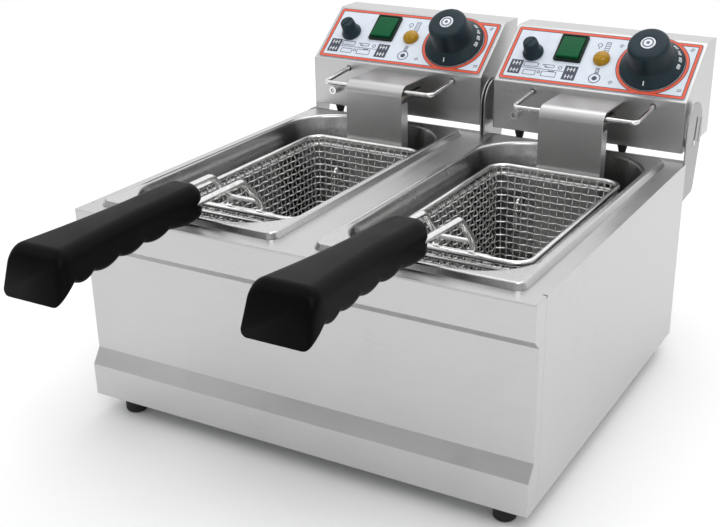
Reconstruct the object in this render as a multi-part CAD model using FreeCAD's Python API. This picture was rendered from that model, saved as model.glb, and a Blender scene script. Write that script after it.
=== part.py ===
import FreeCAD, Part
import math
import os
from FreeCAD import Placement, Rotation, Vector

# Twin-tank countertop deep fryer: a folded sheet casing with two drop-in oil tanks, two
# control heads on lift-and-tilt brackets behind it, and two wire baskets.
# Working coordinates: x to the right from the casing's centre plane, y backwards from the
# casing's front face, z up from a datum 9 mm below the casing's lower edge. At the end everything
# is centred on its footprint and raised so that the feet stand at z = 0.

# ---------------------------------------------------------------- driving dimensions (mm)
SHEET = 1.0
BOTTOM_Z = 9.0
FOOT_HEIGHT = 17.0
FOOT_RADIUS = 8.5
CASING_WIDTH = 372.0
CASING_DEPTH = 324.0
CASING_HEIGHT = 156.0

HEAD_PITCH = 187.0
HEAD_WIDTH = 174.0
HEAD_DEPTH = 79.0
HEAD_SET_BACK = 4.0
HEAD_GAP = 7.0
FACE_HEIGHT = 43.0
SLOPE_RUN = 52.0
SLOPE_RISE = 40.0

FLANGE_WIDTH = 159.0
FLANGE_LENGTH = 304.0
FLANGE_FRONT = 14.0
FLANGE_HEIGHT = 5.0
TANK_WALL = 0.8
TANK_FLOOR_Z = 38.0

BASKET_WIDTH = 114.0
BASKET_LENGTH = 200.5
BASKET_CENTRE_Y = 175.3
BASKET_RIM_Z = 156.0
BASKET_FLOOR_Z = 58.5

PIVOT_Y = 342.0
PIVOT_Z = 178.6
PIN_RADIUS = 2.5
LIFT_TRAVEL = 20.0
SLOT_TILT = 13.0

HANDLE_PIVOT_Y = 87.0
HANDLE_PIVOT_Z = 152.0
GRIP_BACK = 22.0
GRIP_FRONT = -140.0

RUNNING_FIT = 0.1
EAR_FRONT = 319.3
SET_BACK_EAR_FRONT = 336.0
# How the loose pieces of each side lie: tank, basket and handle fork all have some sideways play.
SIDES = {
    "left": {"x": -HEAD_PITCH / 2, "tank_shift": -3.0, "basket_shift": 0.0, "handle_shift": 0.0,
             "handle_tilt": 0.0, "bumpers": (-62.0,), "ear_fronts": (SET_BACK_EAR_FRONT, EAR_FRONT)},
    "right": {"x": HEAD_PITCH / 2, "tank_shift": -1.5, "basket_shift": -3.0, "handle_shift": -3.5,
              "handle_tilt": 3.1, "bumpers": (-62.0, 34.0), "ear_fronts": (EAR_FRONT, EAR_FRONT)},
}

# ---------------------------------------------------------------- sizes worked out from them
HALF_WIDTH = CASING_WIDTH / 2
DECK_Z = BOTTOM_Z + CASING_HEIGHT
FOOT_Z = BOTTOM_Z - FOOT_HEIGHT
FLANGE_Z = DECK_Z + FLANGE_HEIGHT
HEAD_FRONT = CASING_DEPTH + HEAD_SET_BACK
HEAD_BACK = HEAD_FRONT + HEAD_DEPTH
HEAD_BOTTOM = DECK_Z + HEAD_GAP
FACE_TOP = HEAD_BOTTOM + FACE_HEIGHT
HEAD_TOP = FACE_TOP + SLOPE_RISE
SLOPE_ANGLE = math.degrees(math.atan2(SLOPE_RISE, SLOPE_RUN))
SLOPE_LENGTH = math.hypot(SLOPE_RISE, SLOPE_RUN)
EAR_OUTER = HALF_WIDTH - HEAD_PITCH / 2
EAR_THICKNESS = 1.2
OPENING_CENTRE_Y = FLANGE_FRONT + FLANGE_LENGTH / 2

# places on the sloping panel: x from the head's centre, v up the slope from its lower edge
DIAL_AT = (47.4, 34.8)
TIMER_AT = (-61.2, 33.8)
SWITCH_AT = (-28.4, 43.2)
LAMP_AT = (2.0, 35.5)
RESET_AT = (-63.7, 187.5)
GUARD_X = 4.7
GUARD_WIDTH = 56.5
GUARD_FRONT = 279.0
GUARD_TOP = 210.5
ROD_RADIUS = 2.0
ROD_Z = 205.0
ROD_RISE = 4.6
ELEMENT_RADIUS = 3.25
ELEMENT_Z = 51.5
LABEL_THICKNESS = 0.6
LABEL_EDGE = 2.6


# ---------------------------------------------------------------- small shape helpers
def block(x0, y0, z0, x1, y1, z1):
    return Part.makeBox(x1 - x0, y1 - y0, z1 - z0, Vector(x0, y0, z0))


def rod(radius, start, end):
    axis = end - start
    return Part.makeCylinder(radius, axis.Length, start, axis)


def fused(shapes):
    return shapes[0].multiFuse(shapes[1:]).removeSplitter()


def group(shapes):
    return Part.makeCompound(shapes)


def polygon_prism(points, along):
    wire = Part.makePolygon(points + [points[0]])
    return Part.Face(wire).extrude(along)


def rounded_rectangle(centre_x, centre_y, z, width, length, radius):
    """Closed wire of a rectangle with round corners, lying level at height z."""
    half_w = width / 2 - radius
    half_l = length / 2 - radius
    edges = []
    corners = ((half_w, half_l, 0), (-half_w, half_l, 90), (-half_w, -half_l, 180), (half_w, -half_l, 270))
    for index, (dx, dy, start) in enumerate(corners):
        centre = Vector(centre_x + dx, centre_y + dy, z)
        arc_points = [centre + radius * Vector(math.cos(math.radians(a)), math.sin(math.radians(a)), 0)
                      for a in (start, start + 45, start + 90)]
        edges.append(Part.Arc(*arc_points).toShape())
        next_dx, next_dy, next_start = corners[(index + 1) % 4]
        turn = math.radians(next_start)
        next_point = Vector(centre_x + next_dx + radius * math.cos(turn),
                            centre_y + next_dy + radius * math.sin(turn), z)
        edges.append(Part.LineSegment(arc_points[2], next_point).toShape())
    return Part.Wire(edges)


def rounded_plate(centre_x, centre_y, z, width, length, radius, thickness):
    face = Part.Face(rounded_rectangle(centre_x, centre_y, z, width, length, radius))
    return face.extrude(Vector(0, 0, thickness))


def stacked(sections):
    """Solid through level rounded rectangles, each (x, y, z, width, length, radius)."""
    wires = [rounded_rectangle(*section) for section in sections]
    return Part.makeLoft(wires, True, True)


def bent_path(points, bend):
    """Straight runs joined by tangent arcs of the given radius."""
    edges = []
    start = points[0]
    for before, corner, after in zip(points, points[1:], points[2:]):
        back = (before - corner).normalize()
        ahead = (after - corner).normalize()
        half_turn = back.getAngle(ahead) / 2
        setback = bend / math.tan(half_turn)
        first = corner + back * setback
        last = corner + ahead * setback
        inward = (back + ahead).normalize()
        centre = corner + inward * (bend / math.sin(half_turn))
        middle = centre - inward * bend
        edges.append(Part.LineSegment(start, first).toShape())
        edges.append(Part.Arc(first, middle, last).toShape())
        start = last
    edges.append(Part.LineSegment(start, points[-1]).toShape())
    return Part.Wire(edges)


def bent_rod(points, bend, radius):
    path = bent_path(points, bend)
    direction = points[1] - points[0]
    ring = Part.Wire(Part.Circle(points[0], direction, radius).toShape())
    return path.makePipeShell([ring], True, True)


def ring_of_wire(centre_x, centre_y, z, width, length, corner, radius):
    """Closed wire ring: four straight rods and four quarter tori."""
    half_w = width / 2 - corner
    half_l = length / 2 - corner
    pieces = []
    for sign in (-1, 1):
        x = centre_x + sign * width / 2
        y = centre_y + sign * length / 2
        pieces.append(rod(radius, Vector(x, centre_y - half_l, z), Vector(x, centre_y + half_l, z)))
        pieces.append(rod(radius, Vector(centre_x - half_w, y, z), Vector(centre_x + half_w, y, z)))
    for dx, dy, start in ((half_w, half_l, 0), (-half_w, half_l, 90), (-half_w, -half_l, 180), (half_w, -half_l, 270)):
        bend = Part.makeTorus(corner, radius, Vector(0, 0, 0), Vector(0, 0, 1), 0, 360, 90)
        bend.Placement = Placement(Vector(centre_x + dx, centre_y + dy, z), Rotation(Vector(0, 0, 1), start))
        pieces.append(bend)
    return fused(pieces)


def revolved(profile):
    """Solid of revolution about local z from (radius, height) points; the axis closes it."""
    points = [Vector(r, 0, h) for r, h in profile]
    face = Part.Face(Part.makePolygon(points + [points[0]]))
    return face.revolve(Vector(0, 0, 0), Vector(0, 0, 1), 360)


def on_slope(shape, place):
    """Stand a shape built on local x, y, z onto the sloping panel at (x, v)."""
    x, v = place
    turn = math.radians(SLOPE_ANGLE)
    origin = Vector(x, HEAD_FRONT + v * math.cos(turn), FACE_TOP + v * math.sin(turn))
    moved = shape.copy()
    moved.Placement = Placement(origin, Rotation(Vector(1, 0, 0), SLOPE_ANGLE)).multiply(moved.Placement)
    return moved


def screw(at, inward):
    """M4 pan-head screw: the underside of its head sits at the given point."""
    head = rod(3.5, at - inward * 2.2, at)
    shank = rod(1.9, at, at + inward * 8.0)
    return fused([head, shank])


def screw_hole(at, inward):
    return rod(2.1, at - inward * 3.0, at + inward * 12.0)


# ---------------------------------------------------------------- casing
FRONT_PROFILE = ((0.0, DECK_Z - SHEET), (0.0, 139.0), (8.0, 131.5), (8.0, 47.0), (0.0, 35.0), (0.0, BOTTOM_Z))
FLANGE_SEAM_Y = 17.0
FOOT_BORE_DEPTH = 12.0
SEAM = 0.2
FOOT_PLACES = [(x, y) for x in (-162.5, 162.5) for y in (18.0, CASING_DEPTH - 18.0)]
BACK_SCREW_PLACES = [(x, z) for x in (-179.0, 179.0) for z in (30.0, 112.0)]
WEB_SCREW_PLACES = [(side["x"] + dx, 147.0) for side in SIDES.values() for dx in (-62.0, 62.0)]


def casing():
    """Deck and both sides, folded from one sheet, with rear flanges for the back panel."""
    deck = block(-HALF_WIDTH, 0, DECK_Z - SHEET, HALF_WIDTH, CASING_DEPTH, DECK_Z)
    pieces = [deck]
    for sign in (-1, 1):
        outer = sign * HALF_WIDTH
        inner = sign * (HALF_WIDTH - SHEET)
        low, high = sorted((outer, inner))
        pieces.append(block(low, FLANGE_SEAM_Y + SEAM, BOTTOM_Z, high, CASING_DEPTH, DECK_Z - SHEET))
        low, high = sorted((inner, sign * (HALF_WIDTH - 13.0)))
        pieces.append(block(low, CASING_DEPTH - 2 * SHEET - SEAM, BOTTOM_Z + 2, high,
                            CASING_DEPTH - SHEET - SEAM, DECK_Z - SHEET))
    body = fused(pieces)
    for side in SIDES.values():
        centre_x = side["x"] + side["tank_shift"]
        opening = rounded_plate(centre_x, OPENING_CENTRE_Y, DECK_Z - 3, 151.0, 292.0, 49.0, 6.0)
        body = body.cut(opening)
    for sign in (-1, 1):
        relief = rod(1.1, Vector(sign * (HALF_WIDTH - 3), FLANGE_SEAM_Y, DECK_Z - SHEET),
                     Vector(sign * (HALF_WIDTH + 3), FLANGE_SEAM_Y, DECK_Z - SHEET))
        body = body.cut(relief)
    for x, z in BACK_SCREW_PLACES:
        body = body.cut(screw_hole(Vector(x, CASING_DEPTH, z), Vector(0, -1, 0)))
    return body


def front_panel():
    """Front sheet with a recessed middle, and a flange round each side."""
    outline = [Vector(-HALF_WIDTH + SHEET, y, z) for y, z in FRONT_PROFILE]
    outline += [Vector(-HALF_WIDTH + SHEET, y + SHEET, z) for y, z in reversed(FRONT_PROFILE)]
    sheet = polygon_prism(outline, Vector(CASING_WIDTH - 2 * SHEET, 0, 0))
    pieces = [sheet]
    for x in (-HALF_WIDTH, HALF_WIDTH - SHEET):
        side = [Vector(x, y, z) for y, z in FRONT_PROFILE]
        side.append(Vector(x, FLANGE_SEAM_Y, BOTTOM_Z))
        side.append(Vector(x, FLANGE_SEAM_Y, DECK_Z - SHEET - 1.2))
        side.append(Vector(x, FLANGE_SEAM_Y - 1.2, DECK_Z - SHEET))
        pieces.append(polygon_prism(side, Vector(SHEET, 0, 0)))
    return fused(pieces)


def vent_slots(x_list, low, high, y0, y1, width):
    return [block(x - width / 2, y0, low, x + width / 2, y1, high) for x in x_list]


def back_panel():
    panel = block(-HALF_WIDTH + SHEET + SEAM, CASING_DEPTH - SHEET, BOTTOM_Z,
                  HALF_WIDTH - SHEET - SEAM, CASING_DEPTH, DECK_Z - SHEET - SEAM)
    for side in SIDES.values():
        places = [side["x"] + step * 9.0 for step in range(-5, 6)]
        for slot in vent_slots(places, 60.0, 100.0, CASING_DEPTH - 5, CASING_DEPTH + 5, 3.0):
            panel = panel.cut(slot)
    for x, z in BACK_SCREW_PLACES + WEB_SCREW_PLACES:
        panel = panel.cut(screw_hole(Vector(x, CASING_DEPTH, z), Vector(0, -1, 0)))
    return panel


def base_plate():
    plate = block(-HALF_WIDTH + SHEET + SEAM, SHEET + SEAM, BOTTOM_Z,
                  HALF_WIDTH - SHEET - SEAM, CASING_DEPTH - SHEET - SEAM, BOTTOM_Z + SHEET)
    for row in range(2):
        y = 110.0 + row * 90.0
        for step in range(-7, 8):
            x = step * 18.0
            plate = plate.cut(block(x - 2, y, BOTTOM_Z - 2, x + 2, y + 36, BOTTOM_Z + 4))
    for x, y in FOOT_PLACES:
        plate = plate.cut(rod(2.1, Vector(x, y, BOTTOM_Z - 2), Vector(x, y, BOTTOM_Z + 4)))
    return plate


def rubber_feet():
    feet = []
    for x, y in FOOT_PLACES:
        foot = Part.makeCylinder(FOOT_RADIUS, FOOT_HEIGHT, Vector(x, y, FOOT_Z))
        lower_edge = [edge for edge in foot.Edges if edge.BoundBox.ZMax < FOOT_Z + 0.01]
        foot = foot.makeFillet(2.5, lower_edge)
        foot = foot.cut(rod(2.1, Vector(x, y, FOOT_Z - 1), Vector(x, y, BOTTOM_Z + 1)))
        foot = foot.cut(rod(3.8, Vector(x, y, FOOT_Z - 1), Vector(x, y, FOOT_Z + FOOT_BORE_DEPTH)))
        feet.append(foot)
    return group(feet)


def casing_screws():
    screws = [screw(Vector(x, y, FOOT_Z + FOOT_BORE_DEPTH), Vector(0, 0, 1)) for x, y in FOOT_PLACES]
    for x, z in BACK_SCREW_PLACES:
        screws.append(screw(Vector(x, CASING_DEPTH, z), Vector(0, -1, 0)))
    for x, z in WEB_SCREW_PLACES:
        screws.append(screw(Vector(x, CASING_DEPTH + EAR_THICKNESS, z), Vector(0, -1, 0)))
    return group(screws)


def tank(centre_x):
    """Deep-drawn oil tank: flat flange with a turned-down edge, tapered walls, round floor edge."""
    centre_y = OPENING_CENTRE_Y
    inside = [
        (FLANGE_Z + 0.2, 149.0, 290.0, 50.0),
        (FLANGE_Z - 5.0, 143.0, 284.0, 47.0),
        (TANK_FLOOR_Z + 6.5, 135.5, 271.0, 43.0),
        (TANK_FLOOR_Z, 126.0, 261.5, 38.0),
    ]
    hollow = stacked([(centre_x, centre_y, z, w, l, r) for z, w, l, r in inside])
    grow = 2 * TANK_WALL
    outside = [(centre_x, centre_y, z, w + grow, l + grow, r + TANK_WALL) for z, w, l, r in inside]
    outside[0] = (centre_x, centre_y, FLANGE_Z - 0.1) + outside[0][3:]
    outside[-1] = (centre_x, centre_y, TANK_FLOOR_Z - TANK_WALL) + outside[-1][3:]
    shell = stacked(outside)
    flange_y = FLANGE_FRONT + FLANGE_LENGTH / 2
    plate = rounded_plate(centre_x, flange_y, FLANGE_Z - SHEET, FLANGE_WIDTH, FLANGE_LENGTH, 7.0, SHEET)
    lip_height = FLANGE_HEIGHT - SHEET - 0.05
    lip = rounded_plate(centre_x, flange_y, DECK_Z + 0.05, FLANGE_WIDTH, FLANGE_LENGTH, 7.0, lip_height)
    lip = lip.cut(rounded_plate(centre_x, flange_y, DECK_Z, FLANGE_WIDTH - 2, FLANGE_LENGTH - 2, 6.0, 4.1))
    return fused([shell, plate, lip]).cut(hollow)


def slot_cutter(start, width, travel, length):
    """Round-ended slot through an ear, leaning back by the slot tilt."""
    lean = math.radians(SLOT_TILT)
    end = start + Vector(0, math.sin(lean), math.cos(lean)) * travel
    side = Vector(0, math.cos(lean), -math.sin(lean)) * (width / 2)
    through = Vector(length, 0, 0)
    middle = polygon_prism([start + side, end + side, end - side, start - side], through)
    ends = [Part.makeCylinder(width / 2, length, point, Vector(1, 0, 0)) for point in (start, end)]
    return fused([middle] + ends)


def head_bracket(centre_x, ear_fronts):
    """Folded bracket on the casing's back: web, ledge and two slotted ears for one head."""
    web_bottom = 132.0
    web_back = CASING_DEPTH + EAR_THICKNESS
    ledge_back = PIVOT_Y - 9.0
    arc_centre = Vector(0, 341.0, 191.5)
    arc_radius = 22.0
    pieces = [
        block(-EAR_OUTER, CASING_DEPTH, web_bottom, EAR_OUTER, web_back, DECK_Z - 0.2),
        block(-EAR_OUTER, CASING_DEPTH, DECK_Z - 1.4, EAR_OUTER, ledge_back, DECK_Z - 0.2),
    ]
    for x, ear_front in zip((-EAR_OUTER, EAR_OUTER - EAR_THICKNESS), ear_fronts):
        shift = Vector(x, 0, 0)
        low_points = [
            Vector(x, ear_front, arc_centre.z), Vector(x, ear_front, DECK_Z + 0.3),
            Vector(x, CASING_DEPTH, DECK_Z + 0.3), Vector(x, CASING_DEPTH, web_bottom),
            Vector(x, 349.0, web_bottom + 1.5), Vector(x, 352.5, web_bottom + 5.0),
            Vector(x, 363.0, 180.0), Vector(x, 363.0, arc_centre.z),
        ]
        ear = polygon_prism(low_points, Vector(EAR_THICKNESS, 0, 0))
        crown = Part.makeCylinder(arc_radius, EAR_THICKNESS, arc_centre + shift, Vector(1, 0, 0))
        crown = crown.common(block(x, ear_front, arc_centre.z, x + EAR_THICKNESS, 500, 300))
        ear = fused([ear, crown])
        pin_slot = slot_cutter(Vector(x - 1, PIVOT_Y, PIVOT_Z), 2 * (PIN_RADIUS + RUNNING_FIT), LIFT_TRAVEL, 4.0)
        lock_slot = slot_cutter(Vector(x - 1, PIVOT_Y + 12.5, PIVOT_Z - 1.0), 2.4, LIFT_TRAVEL - 1.0, 4.0)
        pieces.append(ear.cut(pin_slot).cut(lock_slot))
    bracket = fused(pieces)
    for x, z in WEB_SCREW_PLACES[:2]:
        hole_x = x - SIDES["left"]["x"]
        bracket = bracket.cut(screw_hole(Vector(hole_x, web_back, z), Vector(0, -1, 0)))
    bracket.translate(Vector(centre_x, 0, 0))
    return bracket


# ---------------------------------------------------------------- control head
HEAD_HALF = HEAD_WIDTH / 2
SWITCH_SIZE = (25.4, 29.8)
SWITCH_BODY = (21.4, 27.0)
SWITCH_OPENING = (19.6, 25.2)
LAMP_STEM = 5.0
DIAL_SHAFT = 3.0
TIMER_SHAFT = 2.0
RESET_BUTTON_RADIUS = 1.9
RESET_SLEEVE_RADIUS = 3.6
COVER_SCREW_PLACES = [(x, z) for x in (-79.0, 79.0) for z in (184.0, 242.0)]
ROD_X = (-49.6, 59.0)
STEM_Z = 196.0
BULB_ENTRY_Z = 186.0
GLAND_AT = (-40.0, 196.0)


def slope_inner_line(y):
    """Height of the slope's inner face at y."""
    angle = math.radians(SLOPE_ANGLE)
    return FACE_TOP + (y - HEAD_FRONT) * math.tan(angle) - SHEET / math.cos(angle)


def control_holes(clearance):
    """Cutters for everything that passes through the sloping panel."""
    width = SWITCH_BODY[0] + 2 * clearance
    length = SWITCH_BODY[1] + 2 * clearance
    cutters = [
        on_slope(Part.makeCylinder(4.3 + clearance, 8, Vector(0, 0, -4)), DIAL_AT),
        on_slope(Part.makeCylinder(3.4 + clearance, 8, Vector(0, 0, -4)), TIMER_AT),
        on_slope(Part.makeCylinder(LAMP_STEM + clearance, 8, Vector(0, 0, -4)), LAMP_AT),
        on_slope(Part.makeBox(width, length, 8, Vector(-width / 2, -length / 2, -4)), SWITCH_AT),
    ]
    return cutters


def head_shell():
    """Front face, sloping panel, top and both sides of one head, folded from one sheet."""
    profile = ((HEAD_FRONT, HEAD_BOTTOM), (HEAD_FRONT, FACE_TOP), (HEAD_FRONT + SLOPE_RUN, HEAD_TOP),
               (HEAD_BACK, HEAD_TOP), (HEAD_BACK, HEAD_BOTTOM))
    outside = polygon_prism([Vector(-HEAD_HALF, y, z) for y, z in profile], Vector(HEAD_WIDTH, 0, 0))
    inner_front = HEAD_FRONT + SHEET
    inner_top = HEAD_TOP - SHEET
    slope = math.tan(math.radians(SLOPE_ANGLE))
    inner_corner = inner_front + (inner_top - slope_inner_line(inner_front)) / slope
    hollow_profile = ((inner_front, HEAD_BOTTOM - 5), (inner_front, slope_inner_line(inner_front)),
                      (inner_corner, inner_top), (HEAD_BACK + 5, inner_top), (HEAD_BACK + 5, HEAD_BOTTOM - 5))
    start_x = -HEAD_HALF + SHEET
    hollow = polygon_prism([Vector(start_x, y, z) for y, z in hollow_profile],
                           Vector(HEAD_WIDTH - 2 * SHEET, 0, 0))
    shell = outside.cut(hollow)
    tabs = []
    for x, z in COVER_SCREW_PLACES:
        edge = math.copysign(HEAD_HALF - SHEET / 2, x)
        low, high = sorted((edge, x - math.copysign(6.0, x)))
        tabs.append(block(low, HEAD_BACK - 2 * SHEET - SEAM, z - 6, high, HEAD_BACK - SHEET - SEAM, z + 6))
    shell = fused([shell] + tabs)
    cutters = control_holes(0.2)
    cutters += [screw_hole(Vector(x, HEAD_BACK, z), Vector(0, -1, 0)) for x, z in COVER_SCREW_PLACES]
    pivot = Vector(-HEAD_HALF - 5, PIVOT_Y, PIVOT_Z)
    cutters.append(rod(PIN_RADIUS + RUNNING_FIT, pivot, pivot + Vector(HEAD_WIDTH + 10, 0, 0)))
    face_holes = [(RESET_AT[0], RESET_AT[1], 3.3), (GUARD_X, BULB_ENTRY_Z, 1.5)]
    face_holes += [(GUARD_X + dx, STEM_Z, ELEMENT_RADIUS + 0.2) for dx in (-19.0, 19.0)]
    face_holes += [(x, ROD_Z + 0.86 * ROD_RISE, ROD_RADIUS + 0.6) for x in ROD_X]
    for x, z, radius in face_holes:
        cutters.append(rod(radius, Vector(x, HEAD_FRONT - 2, z), Vector(x, HEAD_FRONT + 3, z)))
    for cutter in cutters:
        shell = shell.cut(cutter)
    return shell


def head_cover():
    """Back and bottom of one head: one L-shaped sheet with vents and the cord gland's hole."""
    side = HEAD_HALF - SHEET - SEAM
    back = block(-side, HEAD_BACK - SHEET, HEAD_BOTTOM, side, HEAD_BACK, HEAD_TOP - SHEET - SEAM)
    bottom = block(-side, HEAD_FRONT + SHEET + SEAM, HEAD_BOTTOM, side, HEAD_BACK - SHEET, HEAD_BOTTOM + SHEET)
    cover = fused([back, bottom])
    for slot in vent_slots([step * 8.0 for step in range(0, 8)], 206.0, 236.0, HEAD_BACK - 4, HEAD_BACK + 4, 3.0):
        cover = cover.cut(slot)
    for x, z in COVER_SCREW_PLACES:
        cover = cover.cut(screw_hole(Vector(x, HEAD_BACK, z), Vector(0, -1, 0)))
    gland_x, gland_z = GLAND_AT
    return cover.cut(rod(6.2, Vector(gland_x, HEAD_BACK - 4, gland_z), Vector(gland_x, HEAD_BACK + 4, gland_z)))


def label_panel():
    """Printed panel stuck on the slope."""
    width = HEAD_WIDTH - 2 * LABEL_EDGE
    length = SLOPE_LENGTH - 2 * LABEL_EDGE
    plate = rounded_plate(0, 0, 0.05, width, length, 2.0, LABEL_THICKNESS - 0.05)
    plate = on_slope(plate, (0.0, SLOPE_LENGTH / 2))
    for cutter in control_holes(0.3):
        plate = plate.cut(cutter)
    return plate


def element_guard():
    """Sheet that comes forward over the hanger rod and drops into the tank in front of the stems."""
    radius = 9.5
    bottom = BASKET_FLOOR_Z + 10.0
    left = GUARD_X - GUARD_WIDTH / 2
    outer_points = [Vector(left, HEAD_FRONT, GUARD_TOP), Vector(left, GUARD_FRONT + radius, GUARD_TOP),
                    Vector(left, GUARD_FRONT, GUARD_TOP - radius), Vector(left, GUARD_FRONT, bottom)]
    inner_points = [Vector(left, HEAD_FRONT, GUARD_TOP - SHEET),
                    Vector(left, GUARD_FRONT + radius, GUARD_TOP - SHEET),
                    Vector(left, GUARD_FRONT + SHEET, GUARD_TOP - radius), Vector(left, GUARD_FRONT + SHEET, bottom)]
    bend_centre = Vector(left, GUARD_FRONT + radius, GUARD_TOP - radius)
    diagonal = Vector(0, -1, 1).normalize()
    edges = [
        Part.LineSegment(outer_points[0], outer_points[1]).toShape(),
        Part.Arc(outer_points[1], bend_centre + diagonal * radius, outer_points[2]).toShape(),
        Part.LineSegment(outer_points[2], outer_points[3]).toShape(),
        Part.LineSegment(outer_points[3], inner_points[3]).toShape(),
        Part.LineSegment(inner_points[3], inner_points[2]).toShape(),
        Part.Arc(inner_points[2], bend_centre + diagonal * (radius - SHEET), inner_points[1]).toShape(),
        Part.LineSegment(inner_points[1], inner_points[0]).toShape(),
        Part.LineSegment(inner_points[0], outer_points[0]).toShape(),
    ]
    sheet = Part.Face(Part.Wire(edges)).extrude(Vector(GUARD_WIDTH, 0, 0))
    pieces = [sheet]
    for x in (left, left + GUARD_WIDTH - SHEET):
        pieces.append(block(x, GUARD_FRONT + SHEET / 2, bottom, x + SHEET, GUARD_FRONT + 12.0, ROD_Z - 10.0))
    return fused(pieces)


def element_route():
    """Down one stem, a double loop over the tank's floor, and up the other stem."""
    stem_left = GUARD_X - 19.0
    stem_right = GUARD_X + 19.0
    stem_y = 290.0
    inside_head = 340.0
    outer = 48.0
    inner = 18.0
    front = 66.0
    inner_back = 246.0
    outer_back = 268.0
    return [
        Vector(stem_left, inside_head, STEM_Z), Vector(stem_left, stem_y, STEM_Z),
        Vector(stem_left, stem_y, ELEMENT_Z), Vector(stem_left, outer_back, ELEMENT_Z),
        Vector(-outer, outer_back, ELEMENT_Z), Vector(-outer, front, ELEMENT_Z),
        Vector(-inner, front, ELEMENT_Z), Vector(-inner, inner_back, ELEMENT_Z),
        Vector(inner, inner_back, ELEMENT_Z), Vector(inner, front, ELEMENT_Z),
        Vector(outer, front, ELEMENT_Z), Vector(outer, outer_back, ELEMENT_Z),
        Vector(stem_right, outer_back, ELEMENT_Z), Vector(stem_right, stem_y, ELEMENT_Z),
        Vector(stem_right, stem_y, STEM_Z), Vector(stem_right, inside_head, STEM_Z),
    ]


def heating_element():
    """Tubular heater: two stems down behind the guard, a double loop under the basket, rest bars."""
    tube = bent_rod(element_route(), 10.0, ELEMENT_RADIUS)
    bars = []
    for y in (105.0, 225.0):
        bar_bottom = ELEMENT_Z + ELEMENT_RADIUS + 0.05
        bars.append(block(-53, y, bar_bottom, 53, y + 3, BASKET_FLOOR_Z - 0.3))
    return group([tube] + bars)


def thermostat_bulb():
    """Capillary from the head, and its sensing bulb between the inner legs of the element."""
    x = GUARD_X
    over_element = ELEMENT_Z + 5.2
    route = [Vector(x, 345, BULB_ENTRY_Z), Vector(x, 285, BULB_ENTRY_Z), Vector(x, 285, over_element),
             Vector(x, 239, over_element), Vector(x, 231, ELEMENT_Z), Vector(x, 221, ELEMENT_Z)]
    capillary = bent_rod(route, 3.0, 1.2)
    bulb = rod(3.0, Vector(x, 150, ELEMENT_Z), Vector(x, 221, ELEMENT_Z))
    return fused([capillary, bulb])


def hanger_rod():
    """Bar in front of the head on which a basket's hooks hang to drain."""
    left, right = ROD_X
    front = GUARD_FRONT + 6.2
    root = HEAD_FRONT + 7.0
    rise = ROD_Z + ROD_RISE
    route = [Vector(left, root, rise), Vector(left, front, ROD_Z), Vector(right, front, ROD_Z), Vector(right, root, rise)]
    return bent_rod(route, 5.0, ROD_RADIUS)


def shaft_socket(place, body_radius, body_depth, bush_radius, bore_radius):
    """Round control body behind the panel with its bush through the panel."""
    body = Part.makeCylinder(body_radius, body_depth - 1.5, Vector(0, 0, -body_depth))
    bush = Part.makeCylinder(bush_radius, 3.0, Vector(0, 0, -2.0))
    bore = Part.makeCylinder(bore_radius, 20, Vector(0, 0, -13.0))
    return on_slope(fused([body, bush]).cut(bore), place)


def thermostat():
    return shaft_socket(DIAL_AT, 15.0, 27.0, 4.3, DIAL_SHAFT + 0.06)


def timer():
    return shaft_socket(TIMER_AT, 11.0, 23.0, 3.4, TIMER_SHAFT + 0.06)


def thermostat_dial():
    """Large dial: graduated cone skirt, tall knob with a round badge recess, shaft."""
    profile = [(0, -12.5), (DIAL_SHAFT, -12.5), (DIAL_SHAFT, 1.4), (27.6, 1.4), (27.8, 2.6), (20.4, 8.4),
               (19.2, 9.6), (17.4, 26.0), (16.4, 28.2), (14.2, 29.4), (8.6, 29.6), (8.2, 28.8), (0, 28.8)]
    return on_slope(revolved(profile), DIAL_AT)


def timer_knob():
    """Small knob with a flared base and a slot across its top."""
    profile = [(0, -11.5), (TIMER_SHAFT, -11.5), (TIMER_SHAFT, 1.4), (9.4, 1.4), (9.5, 3.4), (7.6, 6.0),
               (6.7, 14.5), (5.9, 16.0), (0, 16.2)]
    knob = revolved(profile)
    knob = knob.cut(Part.makeBox(1.3, 20, 2, Vector(-0.65, -10, 15.2)))
    return on_slope(knob, TIMER_AT)


def switch_housing():
    """Rocker switch body with its bezel."""
    width, length = SWITCH_SIZE
    body_w, body_l = SWITCH_BODY
    open_w, open_l = SWITCH_OPENING
    bezel = rounded_plate(0, 0, LABEL_THICKNESS, width, length, 1.6, 2.2)
    body = Part.makeBox(body_w, body_l, 22.6, Vector(-body_w / 2, -body_l / 2, -22.0))
    well = Part.makeBox(open_w, open_l, 12.0, Vector(-open_w / 2, -open_l / 2, -8.0))
    seat = TRUNNION_HALF + RUNNING_FIT
    seats = rod(TRUNNION_RADIUS + RUNNING_FIT, Vector(-seat, 0, ROCKER_PIVOT_H), Vector(seat, 0, ROCKER_PIVOT_H))
    return on_slope(fused([bezel, body]).cut(well).cut(seats), SWITCH_AT)


ROCKER_PIVOT_H = -2.0
TRUNNION_RADIUS = 1.0
TRUNNION_HALF = 10.3


def rocker():
    """Green rocker on two trunnions, front edge raised at rest."""
    half = 11.3
    profile = [(-half, 5.0), (0, 4.0), (half, 3.2), (half - 0.6, -4.0), (-half + 0.6, -4.0)]
    body = polygon_prism([Vector(-9.5, v, h) for v, h in profile], Vector(19.0, 0, 0))
    trunnions = rod(TRUNNION_RADIUS, Vector(-TRUNNION_HALF, 0, ROCKER_PIVOT_H), Vector(TRUNNION_HALF, 0, ROCKER_PIVOT_H))
    return on_slope(fused([body, trunnions]), SWITCH_AT)


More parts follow.
